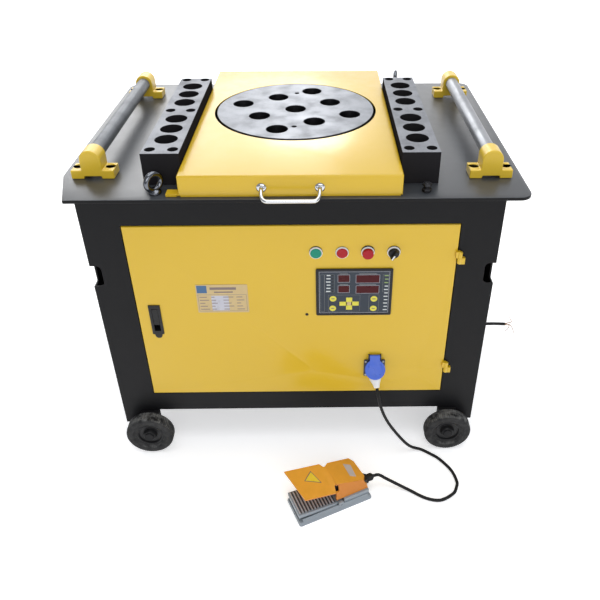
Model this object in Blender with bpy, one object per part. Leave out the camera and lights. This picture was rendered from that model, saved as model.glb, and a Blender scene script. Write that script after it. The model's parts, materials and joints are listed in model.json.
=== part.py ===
"""Floor-standing rebar bender with its foot switch, as an assembly of separate parts.

Metres, +Z up, the operator stands at -Y. Everything is modelled about the centre of the
table plate on the floor, and moved at the end so that the whole footprint is centred on
the origin. Parts that move have their origin on their own axis.
"""

import math

import bmesh
import bpy
from mathutils import Matrix, Vector

GAP = 0.0003
TINY = 0.000002

# Table plate and cabinet
TABLE_HALF_X = 0.5143
TABLE_HALF_Y = 0.3817
TABLE_TOP = 0.7525
TABLE_THICK = 0.008
TABLE_CORNER = 0.028
BODY_HALF_X = 0.4635
BODY_HALF_Y = 0.359
SHEET = 0.004
RAIL_Z = 0.116
LEG_Z = 0.071
LEG_WIDTH = 0.094
TOP_FLANGE = 0.030
LIFT_X = 0.290
LIFT_Y = 0.350
NOTCH_LOW = 0.517
NOTCH_HIGH = 0.573
NOTCH_DEPTH = 0.025

# Front door
DOOR_LEFT = -0.375
DOOR_RIGHT = 0.371
DOOR_LOW = 0.177
DOOR_HIGH = 0.676
DOOR_FACE = -0.3605
DOOR_DEPTH = 0.020
DOOR_SHEET = 0.002
DOOR_HINGE = (0.3765, -0.3653)
HINGE_Z = (0.262, 0.592)

# Turning gear
DISC_Y = 0.0217
DISC_RADIUS = 0.200
DISC_TOP = 0.803
DISC_THICK = 0.040
PIN_PITCH = 0.1016
PIN_RADIUS = 0.0261
PIN_ANGLE = math.radians(28.5)
SHAFT_RADIUS = 0.045
WORM_WHEEL_RADIUS = 0.108
WORM_WHEEL_TEETH = 30
WORM_RADIUS = 0.034
WORM_Y = DISC_Y + WORM_WHEEL_RADIUS + WORM_RADIUS + 0.0006
WORM_Z = 0.590
MOTOR_Z = 0.240
MOTOR_RADIUS = 0.098
PULLEY_X = -0.273
BIG_PULLEY = 0.112
SMALL_PULLEY = 0.052
BELT_THICK = 0.009

# Top cover
COVER_HALF_X = 0.237
COVER_FRONT = -0.370
COVER_REAR = 0.353
COVER_TOP = 0.8015
COVER_BOTTOM = 0.7532
COVER_SHEET = 0.003
COVER_OPENING = 0.206
COVER_HINGE = (0.362, 0.7595)

# Pin blocks and side rollers
BLOCK_INNER = 0.2385
BLOCK_OUTER = 0.3215
BLOCK_FRONT = -0.311
BLOCK_REAR = 0.205
BLOCK_TOP = 0.826
BLOCK_MID_Y = -0.0485
BLOCK_PIN_RADIUS = 0.0255
BLOCK_PIN_OFFSETS = (0.057, 0.120, 0.183)
BLOCK_BOLT_PITCH = 0.239
ROLLER_X = 0.4415
ROLLER_Z = 0.796
ROLLER_RADIUS = 0.017
PILLOW_WIDTH = 0.095
PILLOW_DEPTH = 0.044
PILLOW_FOOT = 0.020
PILLOW_ARCH = 0.0233
ROLLER_SPAN = {"left": (-0.280, 0.293), "right": (-0.290, 0.288)}

# Wheels
WHEEL_RADIUS = 0.0615
WHEEL_X = 0.395
WHEEL_FACE = 0.4042
WHEEL_WIDTH = 0.0326
AXLE_RADIUS = 0.008

# Controls on the door
SWITCH_Z = 0.606
SWITCH_X = {"green": 0.051, "red_left": 0.110, "red_right": 0.168, "selector": 0.2265}
BEZEL_RADIUS = 0.015
STEM_RADIUS = 0.0089
CAP_RADIUS = 0.0126
SELECTOR_REST = math.radians(30)
PANEL_X = (0.050, 0.228)
PANEL_Z = (0.430, 0.563)
SOCKET_X = 0.195
SOCKET_Z = 0.260
LID_HINGE = (-0.3665, 0.3015)
LID_TILT = math.radians(33)

# Foot switch: its own frame runs along the pedal, across it and up
PEDAL_CORNER = (0.0071, -0.6376)
PEDAL_TURN = math.radians(24.3)
PEDAL_LENGTH = 0.196
PEDAL_WIDTH = 0.086
TREADLE_PIVOT = (0.112, 0.018)

# Cords
CABLE_RADIUS = 0.004
LEAD_Y = -0.250
LEAD_Z = 0.308
FOOT_CABLE_ROUTE = (
    (0.20075, -0.40069, 0.22449), (0.2025, -0.4085, 0.2165), (0.2050, -0.4130, 0.2030),
    (0.2127, -0.4150, 0.1690), (0.2270, -0.4150, 0.1293), (0.2470, -0.4140, 0.0907),
    (0.2785, -0.4120, 0.0420), (0.3010, -0.4090, 0.0165), (0.3276, -0.4083, 0.0048),
    (0.3501, -0.4229, 0.0042), (0.3720, -0.4410, 0.0042), (0.3972, -0.4773, 0.0042),
    (0.4061, -0.5127, 0.0042), (0.4021, -0.5307, 0.0042), (0.3903, -0.5501, 0.0042),
    (0.3558, -0.5687, 0.0042), (0.3199, -0.5623, 0.0042), (0.2822, -0.5398, 0.0055),
    (0.2577, -0.5300, 0.0125), (0.2345, -0.5234, 0.0225), (0.2194, -0.5200, 0.0300),
    (0.2040, -0.5150, 0.0360), (0.1890, -0.5193, 0.0380),
)

# Distance from the table's centre to the middle of the whole footprint
SHIFT_Y = 0.11407

MATERIALS = {
    "black_paint": ((0.018, 0.018, 0.020), 0.45, 0.1),
    "yellow_paint": ((0.72, 0.50, 0.045), 0.35, 0.0),
    "yellow_casting": ((0.74, 0.50, 0.03), 0.45, 0.0),
    "table_paint": ((0.20, 0.21, 0.23), 0.40, 0.3),
    "bright_steel": ((0.58, 0.60, 0.63), 0.30, 1.0),
    "dark_steel": ((0.06, 0.06, 0.065), 0.50, 0.8),
    "cast_iron": ((0.10, 0.13, 0.12), 0.65, 0.3),
    "chrome": ((0.80, 0.80, 0.82), 0.08, 1.0),
    "rubber": ((0.025, 0.025, 0.027), 0.80, 0.0),
    "black_plastic": ((0.022, 0.022, 0.026), 0.45, 0.0),
    "grey_plastic": ((0.55, 0.56, 0.58), 0.45, 0.0),
    "green_plastic": ((0.01, 0.28, 0.15), 0.30, 0.0),
    "red_plastic": ((0.58, 0.01, 0.02), 0.30, 0.0),
    "blue_plastic": ((0.03, 0.11, 0.60), 0.35, 0.0),
    "orange_plastic": ((0.80, 0.32, 0.025), 0.45, 0.0),
    "pedal_casting": ((0.32, 0.37, 0.42), 0.50, 0.4),
    "label_plate": ((0.62, 0.58, 0.45), 0.40, 0.2),
    "copper": ((0.72, 0.33, 0.16), 0.35, 1.0),
}


def clear_scene():
    for item in list(bpy.data.objects):
        bpy.data.objects.remove(item)


def material(name):
    made = bpy.data.materials.get(name)
    if made:
        return made
    colour, roughness, metallic = MATERIALS[name]
    made = bpy.data.materials.new(name)
    made.use_nodes = True
    shader = made.node_tree.nodes["Principled BSDF"]
    shader.inputs["Base Color"].default_value = (*colour, 1.0)
    shader.inputs["Roughness"].default_value = roughness
    shader.inputs["Metallic"].default_value = metallic
    return made


def to_object(name, shape, look=None):
    """Turn a closed bmesh into an object with outward faces and smooth round sides."""
    bmesh.ops.recalc_face_normals(shape, faces=shape.faces)
    mesh = bpy.data.meshes.new(name)
    shape.to_mesh(mesh)
    shape.free()
    made = bpy.data.objects.new(name, mesh)
    bpy.context.collection.objects.link(made)
    if look:
        mesh.materials.append(material(look))
    return made


def box(name, x, y, z, look=None):
    shape = bmesh.new()
    bmesh.ops.create_cube(shape, size=1.0)
    for corner in shape.verts:
        corner.co.x = x[0] if corner.co.x < 0 else x[1]
        corner.co.y = y[0] if corner.co.y < 0 else y[1]
        corner.co.z = z[0] if corner.co.z < 0 else z[1]
    return to_object(name, shape, look)


AXES = {"X": (1, 2, 0), "Y": (0, 2, 1), "Z": (0, 1, 2)}


def place(axis, first, second, along):
    """A point from its two coordinates across an axis and its distance along it."""
    point = [0.0, 0.0, 0.0]
    slots = AXES[axis]
    point[slots[0]] = first
    point[slots[1]] = second
    point[slots[2]] = along
    return Vector(point)


def prism(name, outline, axis, low, high, look=None):
    """An outline across an axis, extruded from low to high along it."""
    shape = bmesh.new()
    base = [shape.verts.new(place(axis, a, b, low)) for a, b in outline]
    face = shape.faces.new(base)
    grown = bmesh.ops.extrude_face_region(shape, geom=[face])
    top = [item for item in grown["geom"] if isinstance(item, bmesh.types.BMVert)]
    bmesh.ops.translate(shape, verts=top, vec=place(axis, 0, 0, high - low))
    return to_object(name, shape, look)


def turned(name, profile, axis, centre, look=None, sides=32):
    """A profile of (radius, distance) turned about an axis through centre.

    A profile that starts and ends on the axis makes a solid piece with flat ends, and
    any other is closed on itself as a ring.
    """
    shape = bmesh.new()
    rings = []
    for radius, along in profile:
        if radius == 0:
            continue
        ring = []
        for step in range(sides):
            angle = 2 * math.pi * step / sides
            first = centre[0] + radius * math.cos(angle)
            second = centre[1] + radius * math.sin(angle)
            ring.append(shape.verts.new(place(axis, first, second, along)))
        rings.append(ring)
    pairs = list(zip(rings, rings[1:]))
    if profile[0][0] > 0:
        pairs.append((rings[-1], rings[0]))
    else:
        shape.faces.new(rings[0])
        shape.faces.new(rings[-1])
    for one, two in pairs:
        for step in range(sides):
            after = (step + 1) % sides
            shape.faces.new((one[step], one[after], two[after], two[step]))
    return to_object(name, shape, look)


def rod(name, axis, centre, low, high, radius, look=None, sides=32):
    profile = ((0, low), (radius, low), (radius, high), (0, high))
    return turned(name, profile, axis, centre, look, sides)


def boolean(target, tool, operation):
    step = target.modifiers.new("shape", "BOOLEAN")
    step.operation = operation
    step.solver = "EXACT"
    step.object = tool
    graph = bpy.context.evaluated_depsgraph_get()
    shaped = bpy.data.meshes.new_from_object(target.evaluated_get(graph))
    target.modifiers.clear()
    target.data = shaped
    bpy.data.objects.remove(tool)
    shape = bmesh.new()
    shape.from_mesh(shaped)
    bmesh.ops.remove_doubles(shape, verts=shape.verts, dist=TINY)
    bmesh.ops.dissolve_degenerate(shape, edges=shape.edges, dist=TINY)
    shape.to_mesh(shaped)
    shape.free()


def together(tools):
    """Several tools that don't touch each other, as one object."""
    shape = bmesh.new()
    for tool in tools:
        shape.from_mesh(tool.data)
        bpy.data.objects.remove(tool)
    return to_object("tools", shape)


def cut(target, *tools):
    """Cut tools that don't touch each other out of a part."""
    boolean(target, together(tools), "DIFFERENCE")
    return target


def fuse(target, *tools):
    for tool in tools:
        boolean(target, tool, "UNION")
    return target


def arc(centre, radius, start, end, steps):
    """Points on an arc, its ends included, with angles in degrees."""
    points = []
    for step in range(steps + 1):
        angle = math.radians(start + (end - start) * step / steps)
        points.append((centre[0] + radius * math.cos(angle), centre[1] + radius * math.sin(angle)))
    return points


def rounded_outline(x, y, radius, steps=6):
    outline = []
    corners = ((x[1], y[0], -90), (x[1], y[1], 0), (x[0], y[1], 90), (x[0], y[0], 180))
    for corner_x, corner_y, start in corners:
        inside_x = corner_x - math.copysign(radius, corner_x - sum(x) / 2)
        inside_y = corner_y - math.copysign(radius, corner_y - sum(y) / 2)
        outline += arc((inside_x, inside_y), radius, start, start + 90, steps)
    return outline


def move_origin(item, point):
    offset = Vector(point)
    item.data.transform(Matrix.Translation(-offset))
    item.location = offset


def turn(item, angle, axis, point):
    """Turn an item's shape about an axis through a point."""
    there = Matrix.Translation(Vector(point))
    item.data.transform(there @ Matrix.Rotation(angle, 4, axis) @ there.inverted())


def smooth_route(route, spacing):
    """Evenly spaced points on a Catmull-Rom curve through the route's points."""
    points = [Vector(point) for point in route]
    ends = [2 * points[0] - points[1]] + points + [2 * points[-1] - points[-2]]
    dense = []
    for before, start, end, after in zip(ends, ends[1:], ends[2:], ends[3:]):
        for step in range(24):
            t = step / 24
            dense.append(0.5 * (
                2 * start + (end - before) * t
                + (2 * before - 5 * start + 4 * end - after) * t ** 2
                + (3 * start - before - 3 * end + after) * t ** 3
            ))
    dense.append(points[-1])
    lengths = [0.0]
    for one, two in zip(dense, dense[1:]):
        lengths.append(lengths[-1] + (two - one).length)
    count = max(2, round(lengths[-1] / spacing))
    even = []
    place_at = 0
    for step in range(count + 1):
        target = lengths[-1] * step / count
        while place_at < len(dense) - 2 and lengths[place_at + 1] < target:
            place_at += 1
        share = (target - lengths[place_at]) / (lengths[place_at + 1] - lengths[place_at])
        even.append(dense[place_at].lerp(dense[place_at + 1], min(1.0, share)))
    return even


def cord(name, route, radius, look, spacing=None):
    """A plain tube along a smooth route, with closed ends."""
    path = bpy.data.curves.new(name, "CURVE")
    path.dimensions = "3D"
    path.bevel_depth = radius
    path.bevel_resolution = 2
    path.use_fill_caps = True
    line = path.splines.new("POLY")
    points = smooth_route(route, spacing or radius * 6)
    line.points.add(len(points) - 1)
    for slot, point in zip(line.points, points):
        slot.co = (*point, 1.0)
    path.materials.append(material(look))
    made = bpy.data.objects.new(name, path)
    bpy.context.collection.objects.link(made)
    return made


def tube(name, route, radius, look=None, spacing=None):
    """A rigid bent bar: a cord's shape as a mesh."""
    path = cord(name, route, radius, look or "black_paint", spacing)
    graph = bpy.context.evaluated_depsgraph_get()
    mesh = bpy.data.meshes.new_from_object(path.evaluated_get(graph))
    if not look:
        mesh.materials.clear()
    bpy.data.objects.remove(path)
    shape = bmesh.new()
    shape.from_mesh(mesh)
    bmesh.ops.remove_doubles(shape, verts=shape.verts, dist=0.00001)
    return to_object(name, shape, look)


# ---------------------------------------------------------------- cabinet and table


def corner_leg(side_x, side_y):
    """An angle leg under one corner of the cabinet, flush with its outside."""
    outer_x = side_x * BODY_HALF_X
    outer_y = side_y * BODY_HALF_Y
    inner_x = outer_x - side_x * LEG_WIDTH
    inner_y = outer_y - side_y * LEG_WIDTH
    outline = (
        (outer_x, outer_y), (inner_x, outer_y), (inner_x, outer_y - side_y * SHEET),
        (outer_x - side_x * SHEET, outer_y - side_y * SHEET),
        (outer_x - side_x * SHEET, inner_y), (outer_x, inner_y),
    )
    return prism("leg", outline, "Z", LEG_Z, RAIL_Z + 0.002)


def wheel_stub(side_x, side_y):
    """A welded lug with the axle that one wheel turns on."""
    x = side_x * WHEEL_X
    face = BODY_HALF_Y + 0.009
    shoulder = WHEEL_FACE - WHEEL_WIDTH - GAP
    tip = WHEEL_FACE + GAP
    y = sorted((side_y * (BODY_HALF_Y - 0.002), side_y * face))
    lug = box("lug", (x - 0.024, x + 0.024), y, (0.042, 0.112))
    profile = (
        (0, side_y * (face - 0.001)), (0.013, side_y * (face - 0.001)), (0.013, side_y * shoulder),
        (AXLE_RADIUS, side_y * shoulder), (AXLE_RADIUS, side_y * tip), (0.013, side_y * tip),
        (0.013, side_y * (tip + 0.003)), (0, side_y * (tip + 0.003)),
    )
    axle = turned("axle", profile, "Y", (x, WHEEL_RADIUS), sides=12)
    return fuse(lug, axle)


def frame_cabinet():
    top = TABLE_TOP - TABLE_THICK - GAP
    inside_x = BODY_HALF_X - SHEET
    inside_y = BODY_HALF_Y - SHEET
    frame = box(
        "frame_cabinet", (-BODY_HALF_X, BODY_HALF_X), (-BODY_HALF_Y, BODY_HALF_Y), (RAIL_Z, top), "black_paint"
    )
    room = box("room", (-inside_x, inside_x), (-inside_y, inside_y), (RAIL_Z + SHEET, top - SHEET))
    mouth_x = inside_x - TOP_FLANGE
    mouth_y = inside_y - TOP_FLANGE
    mouth = box("mouth", (-mouth_x, mouth_x), (-mouth_y, mouth_y), (top - 2 * SHEET, top + SHEET))
    doorway = box(
        "doorway", (DOOR_LEFT - 0.002, DOOR_RIGHT + 0.002), (-BODY_HALF_Y - SHEET, -inside_y + SHEET),
        (DOOR_LOW - 0.002, DOOR_HIGH + 0.002),
    )
    rear = box("rear", (-0.380, 0.380), (inside_y - SHEET, BODY_HALF_Y + SHEET), (0.180, 0.670))
    for opening in (room, mouth, doorway, rear):
        cut(frame, opening)
    for side_x in (-1, 1):
        for side_y in (-1, 1):
            fuse(frame, corner_leg(side_x, side_y), wheel_stub(side_x, side_y))
            x = sorted((side_x * (BODY_HALF_X - NOTCH_DEPTH), side_x * (BODY_HALF_X + 0.020)))
            y = sorted((side_y * (BODY_HALF_Y - NOTCH_DEPTH), side_y * (BODY_HALF_Y + 0.020)))
            outline = rounded_outline(x, (NOTCH_LOW, NOTCH_HIGH), 0.012, 3)
            cut(frame, prism("notch", outline, "Y", *y))
    cut(frame, rod("lead_hole", "X", (LEAD_Y, LEAD_Z), 0.440, 0.480, 0.0084, sides=16))
    return frame


def table_outline():
    """Three rounded corners, and the front left one clipped back along the side."""
    inner_x = TABLE_HALF_X - TABLE_CORNER
    inner_y = TABLE_HALF_Y - TABLE_CORNER
    outline = [(-0.4785, -TABLE_HALF_Y)]
    outline += arc((inner_x, -inner_y), TABLE_CORNER, -90, 0, 8)
    outline += arc((inner_x, inner_y), TABLE_CORNER, 0, 90, 8)
    outline += arc((-inner_x, inner_y), TABLE_CORNER, 90, 180, 8)
    outline.append((-TABLE_HALF_X, -0.2613))
    return outline


def table_plate():
    low = TABLE_TOP - TABLE_THICK
    plate = prism("table_plate", table_outline(), "Z", low, TABLE_TOP, "table_paint")
    holes = [rod("neck_hole", "Z", (0, DISC_Y), low - 0.01, TABLE_TOP + 0.01, 0.110, sides=48)]
    for x in (-LIFT_X, LIFT_X):
        for y in (-LIFT_Y, LIFT_Y):
            holes.append(rod("thread", "Z", (x, y), low - 0.01, TABLE_TOP + 0.01, 0.0063, sides=12))
    return cut(plate, *holes)


def rear_panel():
    face = BODY_HALF_Y + GAP
    return box("rear_panel", (-0.400, 0.400), (face, face + 0.003), (0.160, 0.690), "yellow_paint")


def eyebolt(name, x, y, angle):
    seat = TABLE_TOP + GAP
    shank = turned(name, (
        (0, seat - 0.0075), (0.006, seat - 0.0075), (0.006, seat), (0.014, seat), (0.014, seat + 0.006),
        (0.008, seat + 0.010), (0, seat + 0.010),
    ), "Z", (x, y), "chrome", 12)
    middle = seat + 0.026
    section = [(0.018 + across, y + along) for across, along in arc((0, 0), 0.006, 0, 300, 5)]
    ring = turned("ring", section, "Y", (x, middle), sides=20)
    turn(ring, angle, "Z", (x, y, middle))
    return fuse(shank, ring)


def table_stud():
    seat = TABLE_TOP + GAP
    stud = turned("table_stud", (
        (0, seat - 0.0075), (0.006, seat - 0.0075), (0.006, seat + 0.022), (0, seat + 0.022),
    ), "Z", (LIFT_X, -LIFT_Y), "dark_steel", 16)
    for low, high in ((0, 0.008), (0.0135, 0.020)):
        fuse(stud, prism("nut", arc((LIFT_X, -LIFT_Y), 0.0105, 0, 300, 5), "Z", seat + low, seat + high))
    return stud


# ---------------------------------------------------------------- pin blocks and rollers


def pin_block(side):
    sign = -1 if side == "left" else 1
    x = sorted((sign * BLOCK_INNER, sign * BLOCK_OUTER))
    middle = sum(x) / 2
    block = box(
        "pin_block_" + side, x, (BLOCK_FRONT, BLOCK_REAR), (TABLE_TOP + GAP, BLOCK_TOP), "dark_steel"
    )
    holes = []
    for offset in BLOCK_PIN_OFFSETS:
        for way in (-1, 1):
            centre = (middle, BLOCK_MID_Y + way * offset)
            holes.append(rod("pin_hole", "Z", centre, 0.740, 0.840, BLOCK_PIN_RADIUS, sides=24))
    for row in (-1, 0, 1):
        for way in (-1, 1):
            centre = (middle + way * 0.0247, BLOCK_MID_Y + row * BLOCK_BOLT_PITCH)
            holes.append(rod("counterbore", "Z", centre, BLOCK_TOP - 0.018, 0.840, 0.0115, sides=12))
    return cut(block, *holes)


def pillow_block(name, x, y):
    """A pillow block with an arched housing, standing with its front face at y."""
    foot = TABLE_TOP + GAP
    half = PILLOW_WIDTH / 2
    shoulder = foot + PILLOW_FOOT
    outline = [
        (x - half, foot), (x - 0.0195, foot), (x - 0.0195, foot + 0.006), (x + 0.0195, foot + 0.006),
        (x + 0.0195, foot), (x + half, foot), (x + half, shoulder), (x + PILLOW_ARCH, shoulder),
    ]
    outline += arc((x, ROLLER_Z), PILLOW_ARCH, 0, 180, 10)
    outline += [(x - PILLOW_ARCH, shoulder), (x - half, shoulder)]
    block = prism(name, outline, "Y", y, y + PILLOW_DEPTH, "yellow_casting")
    holes = []
    for way in (-1, 1):
        centre = (x + way * 0.0358, y + PILLOW_DEPTH * 0.58)
        holes.append(rod("screw", "Z", centre, shoulder - 0.010, shoulder + 0.010, 0.0075, sides=12))
    return cut(block, *holes)


def roller_with_blocks(side):
    sign = -1 if side == "left" else 1
    x = sign * ROLLER_X
    front, rear = ROLLER_SPAN[side]
    front_inner = front + PILLOW_DEPTH
    rear_inner = rear - PILLOW_DEPTH
    bore = ROLLER_RADIUS * 0.72
    for name, y, low, high in (
        ("pillow_front_" + side, front, front_inner - 0.030, front_inner + 0.001),
        ("pillow_rear_" + side, rear_inner, rear_inner - 0.001, rear_inner + 0.030),
    ):
        block = pillow_block(name, x, y)
        cut(block, rod("bore", "Y", (x, ROLLER_Z), low, high, bore, sides=20))
    stub = bore - 0.0004
    profile = (
        (0, front_inner - 0.028), (stub, front_inner - 0.028), (stub, front_inner + 0.001),
        (ROLLER_RADIUS, front_inner + 0.001), (ROLLER_RADIUS, rear_inner - 0.001),
        (stub, rear_inner - 0.001), (stub, rear_inner + 0.028), (0, rear_inner + 0.028),
    )
    roller = turned("roller_" + side, profile, "Y", (x, ROLLER_Z), "bright_steel", 28)
    move_origin(roller, (x, (front + rear) / 2, ROLLER_Z))


# ---------------------------------------------------------------- disc and drive


def disc_point(column, row):
    """A pin hole's place on the turned square grid about the disc's centre."""
    first = column * PIN_PITCH
    second = row * PIN_PITCH
    x = first * math.cos(PIN_ANGLE) - second * math.sin(PIN_ANGLE)
    y = first * math.sin(PIN_ANGLE) + second * math.cos(PIN_ANGLE)
    return (x, DISC_Y + y)


def bending_disc():
    low = DISC_TOP - DISC_THICK
    disc = rod("bending_disc", "Z", (0, DISC_Y), low, DISC_TOP, DISC_RADIUS, "bright_steel", 64)
    holes = []
    for column in (-1, 0, 1):
        for row in (-1, 0, 1):
            centre = disc_point(column, row)
            holes.append(rod("pin_hole", "Z", centre, low - 0.01, DISC_TOP + 0.01, PIN_RADIUS, sides=20))
    for way in (-1, 1):
        centre = (0, DISC_Y + way * 0.122)
        holes.append(rod("key_hole", "Z", centre, low - 0.01, DISC_TOP + 0.01, 0.006, sides=8))
    cut(disc, *holes)
    move_origin(disc, (0, DISC_Y, low))
    return disc


def main_shaft():
    flange = DISC_TOP - DISC_THICK - GAP
    shaft = turned("main_shaft", (
        (0, 0.545), (SHAFT_RADIUS, 0.545), (SHAFT_RADIUS, TABLE_TOP + 0.001),
        (0.074, TABLE_TOP + 0.001), (0.074, flange), (0, flange),
    ), "Z", (0, DISC_Y), "dark_steel", 24)
    move_origin(shaft, (0, DISC_Y, 0.545))


def worm_wheel():
    outline = []
    for tooth in range(WORM_WHEEL_TEETH):
        for share, radius in ((0.0, 0.101), (0.2, WORM_WHEEL_RADIUS), (0.5, WORM_WHEEL_RADIUS), (0.7, 0.101)):
            angle = 2 * math.pi * (tooth + share) / WORM_WHEEL_TEETH
            outline.append((radius * math.cos(angle), DISC_Y + radius * math.sin(angle)))
    wheel = prism("worm_wheel", outline, "Z", WORM_Z - 0.022, WORM_Z + 0.022, "cast_iron")
    cut(wheel, rod("bore", "Z", (0, DISC_Y), 0.500, 0.700, SHAFT_RADIUS + GAP, sides=24))
    move_origin(wheel, (0, DISC_Y, WORM_Z))


def worm_shaft():
    profile = [(0, -0.296), (0.017, -0.296), (0.017, -0.060), (0.027, -0.060)]
    for thread in range(5):
        start = -0.052 + thread * 0.022
        profile += [(0.027, start), (WORM_RADIUS, start + 0.008), (0.027, start + 0.016)]
    profile += [(0.027, 0.060), (0.017, 0.060), (0.017, 0.124), (0, 0.124)]
    shaft = turned("worm_shaft", profile, "X", (WORM_Y, WORM_Z), "bright_steel", 16)
    move_origin(shaft, (0, WORM_Y, WORM_Z))


def gearbox_housing():
    top = TABLE_TOP - TABLE_THICK - GAP
    front = DISC_Y - 0.128
    rear = WORM_Y + 0.048
    wall = 0.012
    housing = box("gearbox_housing", (-0.126, 0.126), (front, rear), (0.540, top), "cast_iron")
    room = box(
        "room", (-0.126 + wall, 0.126 - wall), (front + wall, rear - wall), (0.530, top - 0.016)
    )
    cut(housing, room)
    fuse(housing, rod("neck", "Z", (0, DISC_Y), top - 0.004, TABLE_TOP - 0.001, 0.104, sides=32))
    cut(
        housing,
        rod("bore", "Z", (0, DISC_Y), top - 0.030, TABLE_TOP + 0.01, SHAFT_RADIUS + 0.001, sides=24),
        rod("worm_bore", "X", (WORM_Y, WORM_Z), -0.140, 0.140, 0.0174, sides=16),
    )
    return housing


def pulley(name, centre, radius, bore):
    groove = radius - 0.0135
    profile = (
        (bore, PULLEY_X - 0.017), (radius, PULLEY_X - 0.017), (radius, PULLEY_X - 0.011),
        (groove, PULLEY_X - 0.0075), (groove, PULLEY_X + 0.0075), (radius, PULLEY_X + 0.011),
        (radius, PULLEY_X + 0.017), (bore, PULLEY_X + 0.017),
    )
    made = turned(name, profile, "X", centre, "cast_iron", 24)
    move_origin(made, (PULLEY_X, *centre))


def belt_outline(extra):
    """The loop round both pulleys, extra beyond their grooves."""
    large = BIG_PULLEY - 0.0135 + extra
    small = SMALL_PULLEY - 0.0135 + extra
    lean = math.degrees(math.asin((large - small) / (WORM_Z - MOTOR_Z)))
    loop = arc((WORM_Y, WORM_Z), large, -lean, 180 + lean, 20)
    return loop + arc((WORM_Y, MOTOR_Z), small, 180 + lean, 360 - lean, 12)


def v_belt():
    belt = prism("v_belt", belt_outline(0.0005 + BELT_THICK), "X", PULLEY_X - 0.006, PULLEY_X + 0.006, "rubber")
    inner = prism("inner", belt_outline(0.0005), "X", PULLEY_X - 0.010, PULLEY_X + 0.010)
    return cut(belt, inner)


def motor_housing():
    outline = []
    fins = 14
    for fin in range(fins):
        for share, radius in ((0.02, 0.086), (0.35, 0.086), (0.40, MOTOR_RADIUS), (0.60, MOTOR_RADIUS), (0.65, 0.086)):
            angle = 2 * math.pi * (fin + share) / fins
            outline.append((WORM_Y + radius * math.cos(angle), MOTOR_Z + radius * math.sin(angle)))
    floor = RAIL_Z + SHEET + GAP
    motor = prism("motor_housing", outline, "X", -0.150, 0.130, "cast_iron")
    for low, high in ((-0.170, -0.148), (0.128, 0.150)):
        fuse(motor, rod("shield", "X", (WORM_Y, MOTOR_Z), low, high, MOTOR_RADIUS + 0.001, sides=24))
    fuse(
        motor,
        box("stand", (-0.120, 0.100), (WORM_Y - 0.060, WORM_Y + 0.060), (floor + 0.005, MOTOR_Z - 0.060)),
        box("feet", (-0.135, 0.115), (WORM_Y - 0.095, WORM_Y + 0.095), (floor, floor + 0.014)),
    )
    cut(motor, rod("bore", "X", (WORM_Y, MOTOR_Z), -0.180, -0.060, 0.0144, sides=16))
    return motor


def motor_fan_cowl():
    centre = (WORM_Y, MOTOR_Z)
    cowl = rod("motor_fan_cowl", "X", centre, 0.150 + GAP, 0.212, 0.094, "black_paint", 24)
    cut(cowl, rod("inside", "X", centre, 0.140, 0.209, 0.091, sides=24))
    return cut(cowl, rod("intake", "X", centre, 0.205, 0.220, 0.045, sides=16))


def motor_terminal_box():
    low = MOTOR_Z + MOTOR_RADIUS + 0.002
    return box(
        "motor_terminal_box", (-0.040, 0.060), (WORM_Y - 0.045, WORM_Y + 0.045), (low, low + 0.036), "black_paint"
    )


def motor_shaft():
    centre = (WORM_Y, MOTOR_Z)
    shaft = rod("motor_shaft", "X", centre, -0.296, -0.064, 0.014, "bright_steel", 20)
    move_origin(shaft, (PULLEY_X, *centre))


def electrical_panel():
    wall = BODY_HALF_X - SHEET - GAP
    panel = box("electrical_panel", (0.444, 0.447), (-0.190, 0.090), (0.300, 0.600), "bright_steel")
    for y in (-0.170, 0.070):
        for z in (0.320, 0.580):
            fuse(panel, rod("post", "X", (y, z), 0.445, wall, 0.006, sides=10))
    return panel


def contactor():
    back = 0.444 - GAP
    body = box("contactor", (0.372, back), (-0.120, -0.050), (0.440, 0.525), "black_plastic")
    fuse(body, box("bridge", (0.352, 0.380), (-0.108, -0.062), (0.462, 0.503)))
    return body


def power_gland():
    wall = BODY_HALF_X
    centre = (LEAD_Y, LEAD_Z)
    return turned("power_gland", (
        (0.0043, wall - 0.014), (0.008, wall - 0.014), (0.008, wall + GAP), (0.0125, wall + GAP),
        (0.0125, wall + 0.006), (0.010, wall + 0.013), (0.0043, wall + 0.013),
    ), "X", centre, "black_plastic", 16)


# ---------------------------------------------------------------- top cover


def cover_sheet():
    y = (COVER_FRONT, COVER_REAR)
    cover = box("cover_sheet", (-COVER_HALF_X, COVER_HALF_X), y, (COVER_BOTTOM, COVER_TOP), "yellow_paint")
    room_x = COVER_HALF_X - COVER_SHEET
    room_y = (COVER_FRONT + COVER_SHEET, COVER_REAR - COVER_SHEET)
    room = box("room", (-room_x, room_x), room_y, (COVER_BOTTOM - 0.01, COVER_TOP - COVER_SHEET))
    opening = rod("opening", "Z", (0, DISC_Y), COVER_TOP - 0.02, COVER_TOP + 0.02, COVER_OPENING, sides=64)
    cut(cover, room)
    cut(cover, opening)
    fuse(cover, box("lug", (-0.264, -COVER_HALF_X + 0.001), (-0.369, -0.347), (COVER_BOTTOM, 0.7595)))
    hinge_y, hinge_z = COVER_HINGE
    for way in (-1, 1):
        x = sorted((way * 0.0405, way * 0.1195))
        leaf = box("leaf", x, (COVER_REAR - 0.001, hinge_y - 0.002), (hinge_z - 0.002, hinge_z + 0.0045))
        barrel = rod("barrel", "X", COVER_HINGE, *x, 0.0045, sides=12)
        fuse(cover, fuse(leaf, barrel))
        cut(cover, rod("eye", "X", COVER_HINGE, x[0] - 0.001, x[1] + 0.001, 0.0024, sides=8))
    move_origin(cover, (0, hinge_y, hinge_z))


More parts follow.
